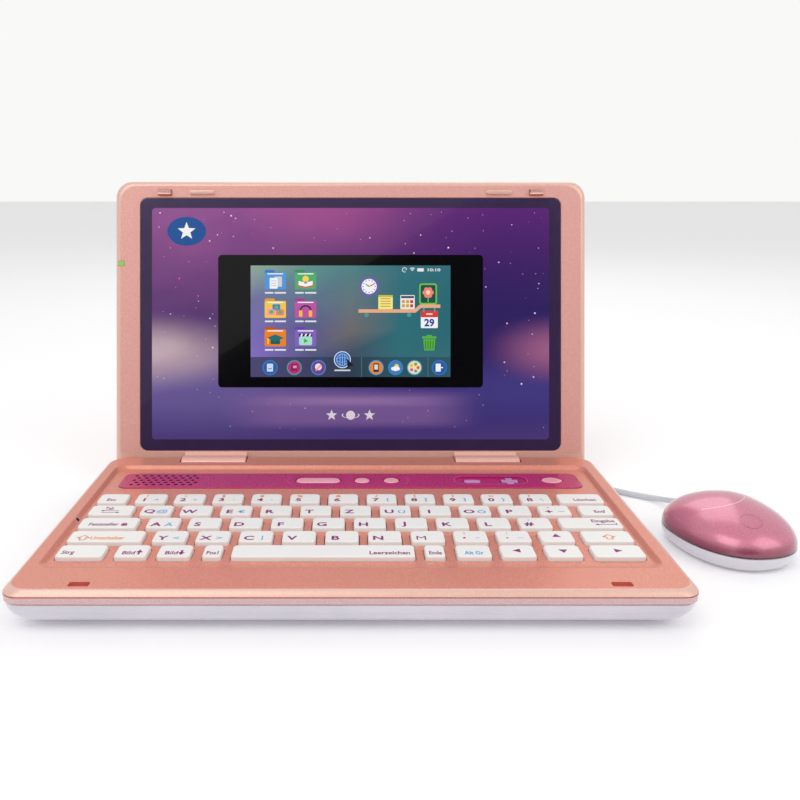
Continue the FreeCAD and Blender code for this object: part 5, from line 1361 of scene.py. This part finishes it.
def make_dock(sheet):
    shades = [(0.0, (72, 68, 116)), (0.3, (58, 62, 96)), (0.5, (40, 58, 76)), (0.75, (36, 82, 96)),
              (1.0, (42, 84, 98))]
    for (u0, left), (u1, right) in zip(shades, shades[1:]):
        corners = [screen_point(u0, 0), screen_point(u1, 0), screen_point(u1, 0.179), screen_point(u0, 0.179)]
        sheet.shaded(corners, [left, right, right, left], 5)
    for u in (0.555, 0.887):
        x, low = screen_point(u, 0)
        sheet.line(x, low, x, low + 11.1 * MM, 0.3 * MM, (72, 124, 138), 6)
    for u, ring, fill, mark in DOCK:
        x, t = screen_point(u, 0.084)
        sheet.disc(x, t, 4.2 * MM, ring, 6, 32)
        sheet.disc(x, t, 3.6 * MM, fill, 7, 32)
        if mark == "page":
            sheet.rect(x, t, 3.4 * MM, 4.4 * MM, (206, 222, 246), 8, 0.4 * MM)
            sheet.line(x - MM, t - 0.6 * MM, x + MM, t - 0.6 * MM, 0.4 * MM, fill, 9)
        if mark == "square":
            sheet.rect(x, t, 3.6 * MM, 4.0 * MM, (140, 24, 84), 8, 0.4 * MM)
            sheet.rect(x + 0.3 * MM, t + 0.4 * MM, 2.0 * MM, 1.4 * MM, (226, 150, 190), 9, 0.2 * MM)
        if mark == "star":
            sheet.disc(x, t + 0.4 * MM, 1.9 * MM, (232, 226, 240), 8, 20)
            sheet.line(x - 1.6 * MM, t - 1.8 * MM, x + 1.6 * MM, t + 1.6 * MM, 0.7 * MM, (240, 150, 50), 9)
        if mark == "phone":
            sheet.rect(x, t, 3.0 * MM, 4.8 * MM, (40, 40, 52), 8, 0.5 * MM)
            sheet.rect(x, t + 0.3 * MM, 2.0 * MM, 2.8 * MM, (214, 220, 226), 9, 0.2 * MM)
        if mark == "cloud":
            sheet.disc(x + 0.6 * MM, t + 0.8 * MM, 1.2 * MM, (250, 214, 80), 8, 16)
            for dx, size in ((-1.4, 1.0), (0.0, 1.4), (1.4, 1.0)):
                sheet.disc(x + dx * MM, t - 0.6 * MM, size * MM, PAPER, 9, 16)
        if mark == "blots":
            tones = ((230, 90, 60), (90, 170, 90), (240, 190, 60), (210, 90, 150), (80, 150, 210))
            for turn, tone in enumerate(tones):
                a = math.radians(72 * turn)
                sheet.disc(x + 2.0 * MM * math.cos(a), t + 2.0 * MM * math.sin(a), 0.9 * MM, tone, 8, 14)
        if mark == "door":
            sheet.rect(x - 0.6 * MM, t, 2.8 * MM, 4.4 * MM, PAPER, 8, 0.3 * MM)
            sheet.line(x - 0.4 * MM, t, x + 2.0 * MM, t, 0.6 * MM, PAPER, 9)
            arrow(sheet, x + 2.1 * MM, t, 1.1 * MM, -90, PAPER)
    x, t = screen_point(0.459, 0.155)
    sheet.disc(x, t, 4.7 * MM, (206, 226, 246), 7, 40)
    sheet.disc(x, t, 4.2 * MM, (46, 92, 172), 8, 40)
    sheet.arc(x, t, 3.2 * MM, 0.4 * MM, 0, 360, (140, 186, 232), 9, 24)
    sheet.arc(x, t, 3.2 * MM, 0.5 * MM, 0, 360, (140, 186, 232), 9, 24, 0.4)
    for dx in (-1.3, 0.0, 1.3):
        sheet.line(x + dx * MM, t - 2.8 * MM, x + dx * MM, t + 2.8 * MM, 0.4 * MM, (140, 186, 232), 9)
    sheet.rect(x, t - 5.9 * MM, 9.0 * MM, 0.8 * MM, (214, 220, 228), 7, 0.4 * MM)
    tip = (x + 2.6 * MM, t + 0.6 * MM)
    sheet.polygon([tip, (tip[0] + 0.2 * MM, tip[1] - 5.4 * MM), (tip[0] + 1.6 * MM, tip[1] - 4.0 * MM),
                   (tip[0] + 3.8 * MM, tip[1] - 3.9 * MM)], (14, 14, 18), 10)


def make_status(sheet):
    pale = (232, 236, 240)
    x, t = screen_point(0.77, 0.961)
    sheet.arc(x, t, 1.2 * MM, 0.35 * MM, 0, 300, pale, 6, 20)
    sheet.line(x, t, x + 0.6 * MM, t, 0.3 * MM, pale, 6)
    x = screen_point(0.809, 0)[0]
    for size in (0.6, 1.3, 2.0):
        sheet.arc(x, t - 0.9 * MM, size * MM, 0.4 * MM, 50, 130, pale, 6, 10)
    x = screen_point(0.85, 0)[0]
    sheet.rect(x, t, 3.6 * MM, 1.8 * MM, pale, 6, 0.4 * MM)
    sheet.text("10:10", screen_point(0.915, 0)[0], t, 2.2 * MM, pale, layer=6, weight=0.02, width=7.0 * MM)


def make_screen(sheet):
    """Desk-top picture: wallpaper, six folders, a shelf of things, a calendar, a bin and a dock."""
    make_wallpaper(sheet)
    for body, tab, u, v, kind in FOLDERS:
        x, t = screen_point(u, v)
        folder(sheet, x, t, body, tab)
        folder_picture(sheet, x, t - 0.6 * MM, kind)
        sheet.rect(x - 3.4 * MM, t - 6.6 * MM, 4.8 * MM, 0.9 * MM, (226, 230, 236), 5, 0.4 * MM)
        sheet.rect(x + 2.8 * MM, t - 6.6 * MM, 6.4 * MM, 0.9 * MM, (226, 230, 236), 5, 0.4 * MM)
    make_clock(sheet)
    make_shelf(sheet)
    make_calendar(sheet)
    make_bin(sheet)
    make_dock(sheet)
    make_status(sheet)


def make_display():
    make_panel()
    sheet = Print(PANEL_W)
    make_stars(sheet)
    make_badge(sheet)
    make_symbols(sheet)
    sheet.finish("panel_print", PANEL_INK, "lid", LID_TURN)
    frame_loops = [corner_loop(-FRAME_HALF, FRAME_HALF, height(FRAME_LOW), height(FRAME_HIGH),
                               PANEL_W + w * MM, 2.2 * MM, steps=8) for w in (0.02, 0.05)]
    soften(new_object("screen_frame", lid_mesh(skin(frame_loops)), [SCREEN_BLACK], "lid"))
    picture = Print(PANEL_W)
    make_screen(picture)
    picture.finish("screen_picture", SCREEN_INK_PAINTED_GLOW, "lid", LID_TURN)


# ------------------------------------------------------------------ mouse
MOUSE_PLACE = Vector((174.6 * MM, 2.7 * MM, 0))
MOUSE_YAW = math.radians(11.5)
MOUSE_TURN = Matrix.Translation(MOUSE_PLACE) @ Matrix.Rotation(MOUSE_YAW, 4, "Z")
MOUSE_SQUARENESS = 2.25           # exponent of the plan outline
MOUSE_DOME = (1.6, 2.24)          # exponents of the dome's profile
MOUSE_HALF = 26.5 * MM
MOUSE_NOSE = 26.5 * MM
MOUSE_TAIL = 35.1 * MM
MOUSE_HEIGHT = 24.7 * MM
MOUSE_SEAM = 7.9 * MM
MOUSE_UNDER = 4.2 * MM
RELIEF_Z = 6.0 * MM


def mouse_point(scale, angle, grow=0.0):
    c = math.cos(angle)
    s = math.sin(angle)
    power = 2 / MOUSE_SQUARENESS
    x = math.copysign(abs(c) ** power, c) * (MOUSE_HALF * scale + grow)
    reach = (MOUSE_NOSE if s > 0 else MOUSE_TAIL) * scale + grow
    return x, math.copysign(abs(s) ** power, s) * reach


def dome_z(scale):
    return MOUSE_SEAM + (MOUSE_HEIGHT - MOUSE_SEAM) * (1 - scale ** MOUSE_DOME[0]) ** (1 / MOUSE_DOME[1])


def mouse_loop(scale, z, grow=0.0):
    return [Vector((*mouse_point(scale, angle, grow), z)) for angle in turns(96)]


def on_mouse(x, y):
    """Height of the cover above a plan point."""
    power = MOUSE_SQUARENESS
    reach = MOUSE_NOSE if y > 0 else MOUSE_TAIL
    scale = min(1.0, (abs(x / MOUSE_HALF) ** power + abs(y / reach) ** power) ** (1 / power))
    return dome_z(scale)


def ribbon(points, width, lift):
    """Thin strip that follows the cover along a plan line."""
    bm = bmesh.new()
    rows = []
    for index, (x, y) in enumerate(points):
        before = Vector(points[max(index - 1, 0)])
        after = Vector(points[min(index + 1, len(points) - 1)])
        side = (after - before).orthogonal().normalized() * width / 2
        row = []
        for sign in (-1, 1):
            px, py = x + sign * side.x, y + sign * side.y
            row.append(bm.verts.new((px, py, on_mouse(px, py) + lift)))
        rows.append(row)
    for low, high in zip(rows, rows[1:]):
        face = bm.faces.new((low[0], low[1], high[1], high[0]))
        face.normal_update()
        if face.normal.z < 0:
            face.normal_flip()
    mesh = bpy.data.meshes.new("ribbon")
    bm.to_mesh(mesh)
    bm.free()
    return mesh


def make_mouse():
    """Cover, lower shell, and the two raised lines on the cover: the bright button line is a painted
    highlight and the darker oval painted shade.
    """
    loops = [mouse_loop(0.97, MOUSE_SEAM + 0.9 * MM), mouse_loop(0.985, MOUSE_SEAM + 0.42 * MM)]
    count = 30
    for index in range(count):
        bend = math.pi / 2 * index / count
        scale = math.cos(bend) ** 0.8
        if index == 0:
            loops.append(mouse_loop(1.0, MOUSE_SEAM + 0.55 * MM))
            continue
        loops.append(mouse_loop(scale, max(dome_z(scale), MOUSE_SEAM + 0.6 * MM)))
    mesh = skin(loops)
    mesh.transform(MOUSE_TURN)
    cover = new_object("mouse_top", mesh, [MOUSE_ROSE], "mouse_cover")
    notch = tube((0, RELIEF_Z), 3.4 * MM, 10 * MM, 40 * MM, "Y")
    notch.transform(MOUSE_TURN)
    carve(cover, [notch])
    for polygon in cover.data.polygons:
        polygon.use_smooth = True
    cover.data.set_sharp_from_angle(angle=math.radians(60))
    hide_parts("mouse_cover")
    top = MOUSE_SEAM - 0.4 * MM
    loops = []
    for bend in quarter(10):
        loops.append(mouse_loop(1.0, top - (top - MM) * math.cos(bend), -MOUSE_UNDER * (1 - math.sin(bend))))
    loops.append(mouse_loop(1.0, top + 0.15 * MM, -0.4 * MM))
    loops.append(mouse_loop(1.0, top + 0.15 * MM, -1.8 * MM))
    loops.append(mouse_loop(1.0, 2.6 * MM, -MOUSE_UNDER - 1.2 * MM))
    mesh = skin(loops)
    mesh.transform(MOUSE_TURN)
    under = new_object("mouse_under", mesh, [MOUSE_WHITE], "base")
    hole = tube((0, RELIEF_Z), 2.5 * MM, 10 * MM, 40 * MM, "Y")
    window = tube((0, -4 * MM), 4 * MM, 0, 5 * MM)
    for mesh in (hole, window):
        mesh.transform(MOUSE_TURN)
    carve(under, [hole, window])
    soften(under, 40.0)
    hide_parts("mouse_bottom_shell")
    arc = []
    for index in range(61):
        angle = math.radians(229 + 100 * index / 60)
        arc.append(((-5.76 + 15.85 * math.cos(angle)) * MM, (6.33 + 15.85 * math.sin(angle)) * MM))
    oval = []
    for index in range(49):
        angle = 2 * math.pi * index / 48
        oval.append(((-2.65 + 4.6 * math.cos(angle)) * MM, (-22.1 + 4.2 * math.sin(angle)) * MM))
    # painted highlight: the engraved button split is drawn as a bright ribbon; painted shade: the moulded
    # oval as a darker one
    bright = lacquer("button_line_highlight", (246, 190, 208), (250, 206, 220), 0.3, 0.3, 0.5)
    oval_shade = lacquer("moulded_oval_shade", (180, 96, 122), (206, 126, 148), 0.6, 0.3, 0.8)
    lines = (("mouse_button_line", arc, 0.45, bright), ("mouse_oval", oval, 0.35, oval_shade))
    for name, line, width, material in lines:
        mark = ribbon(line, width * MM, 0.03 * MM)
        mark.transform(MOUSE_TURN)
        new_object(name, mark, [material], "mouse_cover")


# ------------------------------------------------------------------ cord
RELIEF_REACH = 40.5 * MM
CORD_ROUTE = [
    (165.4, 53.2, 2.6), (158.0, 60.4, 1.55), (146.3, 68.0, 1.5), (137.6, 77.0, 1.5), (133.6, 89.5, 1.5),
    (132.8, 106.0, 1.5),
]
COIL_CENTRE = Vector((116.5 * MM, 124.0 * MM, 0))
COIL_RADII = (18.0, 15.0, 15.0, 18.0)
COIL_HEIGHTS = (1.5, 1.5, 4.5, 4.5)
POINTS_PER_TURN = 16              # the last turn is a half one
CROSSING_START = 0.7              # share of a turn after which the cord moves over to the next
TAIL_ROUTE = [(100.9, 109.0, 4.8), (100.0, 95.0, 5.0)]


def make_cord():
    """Cord from the mouse's strain relief, through three and a half turns of a coil, to the plug."""
    start = MOUSE_TURN @ Vector((0, RELIEF_REACH, RELIEF_Z))
    points = [start] + [Vector(p) * MM for p in CORD_ROUTE]
    last = len(COIL_RADII) - 1
    for turn, (radius, level) in enumerate(zip(COIL_RADII, COIL_HEIGHTS)):
        following = min(turn + 1, last)
        count = POINTS_PER_TURN if turn < last else POINTS_PER_TURN // 2
        for step in range(count):
            share = max(0.0, (step / POINTS_PER_TURN - CROSSING_START) / (1 - CROSSING_START))
            r = radius + (COIL_RADII[following] - radius) * share
            z = level + (COIL_HEIGHTS[following] - level) * share
            angle = 2 * math.pi * step / POINTS_PER_TURN
            offset = Vector((r * MM * math.cos(angle), r * MM * math.sin(angle), z * MM))
            points.append(COIL_CENTRE + offset)
    points += [Vector(p) * MM for p in TAIL_ROUTE]
    curve = bpy.data.curves.new("cord", "CURVE")
    curve.dimensions = "3D"
    spline = curve.splines.new("NURBS")
    spline.points.add(len(points) - 1)
    for target, point in zip(spline.points, points):
        target.co = (*point, 1.0)
    spline.order_u = 3
    spline.use_endpoint_u = True
    spline.resolution_u = 6
    curve.bevel_depth = CORD_RADIUS
    curve.bevel_resolution = 5
    curve.materials.append(CORD_GREY)
    cord = bpy.data.objects.new("cord", curve)
    bpy.context.scene.collection.objects.link(cord)
    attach(cord, "base")
    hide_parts("mouse_cord", "mouse_cord_coil", "mouse_cord_tail")
    length = 0.0
    for here, there in zip(points, points[1:]):
        length += (there - here).length
    return cord, start, length


def make_relief():
    """Ribbed strain relief at the mouse's nose."""
    mesh = skin([[Vector((radius * math.cos(a), place, RELIEF_Z + radius * math.sin(a))) for a in turns(32)]
                 for place, radius in relief_profile()])
    mesh.transform(MOUSE_TURN)
    relief = soften(new_object("strain_relief", mesh, [CORD_GREY], "base"), 50.0)
    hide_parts("mouse_strain_relief")


def relief_profile():
    """Place along the mouse and radius of each edge of the ribbed relief, from inside the mouse out."""
    profile = [(17.0 * MM, 2.4 * MM), (25.5 * MM, 2.4 * MM)]
    ribs = 6
    for rib in range(ribs):
        start = 25.5 * MM + rib * 2.4 * MM
        radius = 2.4 * MM - rib * 0.12 * MM
        profile += [(start + 0.1 * MM, radius), (start + 1.5 * MM, radius - 0.06 * MM),
                    (start + 1.7 * MM, radius - 0.5 * MM), (start + 2.3 * MM, radius - 0.5 * MM)]
    profile.append((RELIEF_REACH, 1.65 * MM))
    return profile


# ------------------------------------------------------------------ light and ground
WORLD_LIGHT = 0.76
PATCH = (0.89, 0.955)             # cosine from the lid's normal at which the dim patch starts and is full
LID_OUT = Vector((0.0, -math.cos(REST_TILT), math.sin(REST_TILT)))


def make_stage():
    """Pale floor, the world round it, and plain view settings."""
    mesh = bpy.data.meshes.new("floor")
    bm = bmesh.new()
    bmesh.ops.create_grid(bm, x_segments=1, y_segments=1, size=6.0)
    bm.to_mesh(mesh)
    bm.free()
    floor = bpy.data.objects.new("floor", mesh)
    bpy.context.scene.collection.objects.link(floor)
    material, _, _, bsdf = shader("floor")
    bsdf.inputs["Base Color"].default_value = (0.86, 0.86, 0.87, 1)
    bsdf.inputs["Roughness"].default_value = 0.9
    bsdf.inputs["Emission Color"].default_value = (1, 1, 1, 1)
    bsdf.inputs["Emission Strength"].default_value = 0.14
    mesh.materials.append(material)
    make_world()
    bpy.context.scene.view_settings.view_transform = "Standard"


def make_world():
    """Even white tent, dim where the glossy display looks, and pale to the eye."""
    world = bpy.data.worlds.new("studio")
    world.use_nodes = True
    nodes = world.node_tree.nodes
    links = world.node_tree.links
    where = nodes.new("ShaderNodeTexCoord")
    facing = nodes.new("ShaderNodeVectorMath")
    facing.operation = "DOT_PRODUCT"
    facing.inputs[1].default_value = LID_OUT
    links.new(where.outputs["Generated"], facing.inputs[0])
    dim = nodes.new("ShaderNodeMapRange")
    dim.inputs["From Min"].default_value = PATCH[0]
    dim.inputs["From Max"].default_value = PATCH[1]
    dim.inputs["To Min"].default_value = WORLD_LIGHT
    dim.inputs["To Max"].default_value = 0.02
    links.new(facing.outputs["Value"], dim.inputs["Value"])
    path = nodes.new("ShaderNodeLightPath")
    mix = nodes.new("ShaderNodeMix")
    links.new(path.outputs["Is Camera Ray"], mix.inputs["Factor"])
    links.new(dim.outputs["Result"], mix.inputs["A"])
    mix.inputs["B"].default_value = 0.95
    links.new(mix.outputs["Result"], nodes["Background"].inputs["Strength"])
    nodes["Background"].inputs["Color"].default_value = (1.0, 0.995, 0.99, 1)
    bpy.context.scene.world = world


def area_light(name, width, depth, power):
    data = bpy.data.lights.new(name, "AREA")
    data.shape = "RECTANGLE"
    data.size = width
    data.size_y = depth
    data.energy = power
    light = bpy.data.objects.new(name, data)
    bpy.context.scene.collection.objects.link(light)
    return light


def aimed_light(name, place, target, size, power):
    """Square soft light at place that points at target."""
    light = area_light(name, size, size, power)
    light.location = place
    light.rotation_mode = "QUATERNION"
    light.rotation_quaternion = (Vector(target) - Vector(place)).to_track_quat("-Z", "Y")


def make_lights():
    aimed_light("key", (-0.5, -0.62, 1.15), (0, 0, 0.05), 0.9, 4.4)
    aimed_light("fill", (0.9, -0.55, 0.9), (0.05, 0, 0.05), 0.8, 2.6)
    aimed_light("back", (0.2, 0.9, 1.1), (0, 0, 0.05), 0.9, 2.6)
    make_glare()


def make_glare():
    """Soft panel parallel to the open lid, whose edge shows as a diagonal in the display's gloss."""
    up = Vector((0.0, math.sin(REST_TILT), math.cos(REST_TILT)))
    across = Vector((1.0, 0.0, 0.0))
    slope = math.radians(32.0)
    along = across * math.cos(slope) + up * math.sin(slope)
    away = -across * math.sin(slope) + up * math.cos(slope)
    junction = Vector((0.0, 82.25 * MM, DECK_Z))
    edge = junction + LID_OUT + across * -0.05 + up * 0.2135
    turn = Matrix((along, away, LID_OUT)).transposed().to_4x4()
    area_light("glare", 1.1, 0.5, 0.32).matrix_world = Matrix.Translation(edge + away * 0.25) @ turn


def finish_inner_parts():
    """Finishes of the CAD pieces that are shown as they are."""
    for material, nodes in (
            (STEEL, ("hinge_pins", "battery_contacts", "case_screws", "lid_screws")),
            (DARK, ("speaker", "mouse_socket", "artwork_panel", "lcd_module")),
            (BOARD_GREEN, ("main_board", "mouse_board")), (WHITE_SHELL, ("battery_door",)),
            (CELL_JACKET, ("battery_cells",)), (RUBBER, ("rubber_feet",)), (FILM, ("key_membrane",)),
            (CORD_GREY, ("mouse_plug",))):
        for node in nodes:
            give(node, material)


cord, cord_exit, cord_length = make_cord()
make_stage()
make_lights()
make_deck()
make_bottom()
make_keys()
make_legends()
make_strip()
make_lid()
make_back()
make_knuckles()
make_display()
make_mouse()
make_relief()
finish_inner_parts()
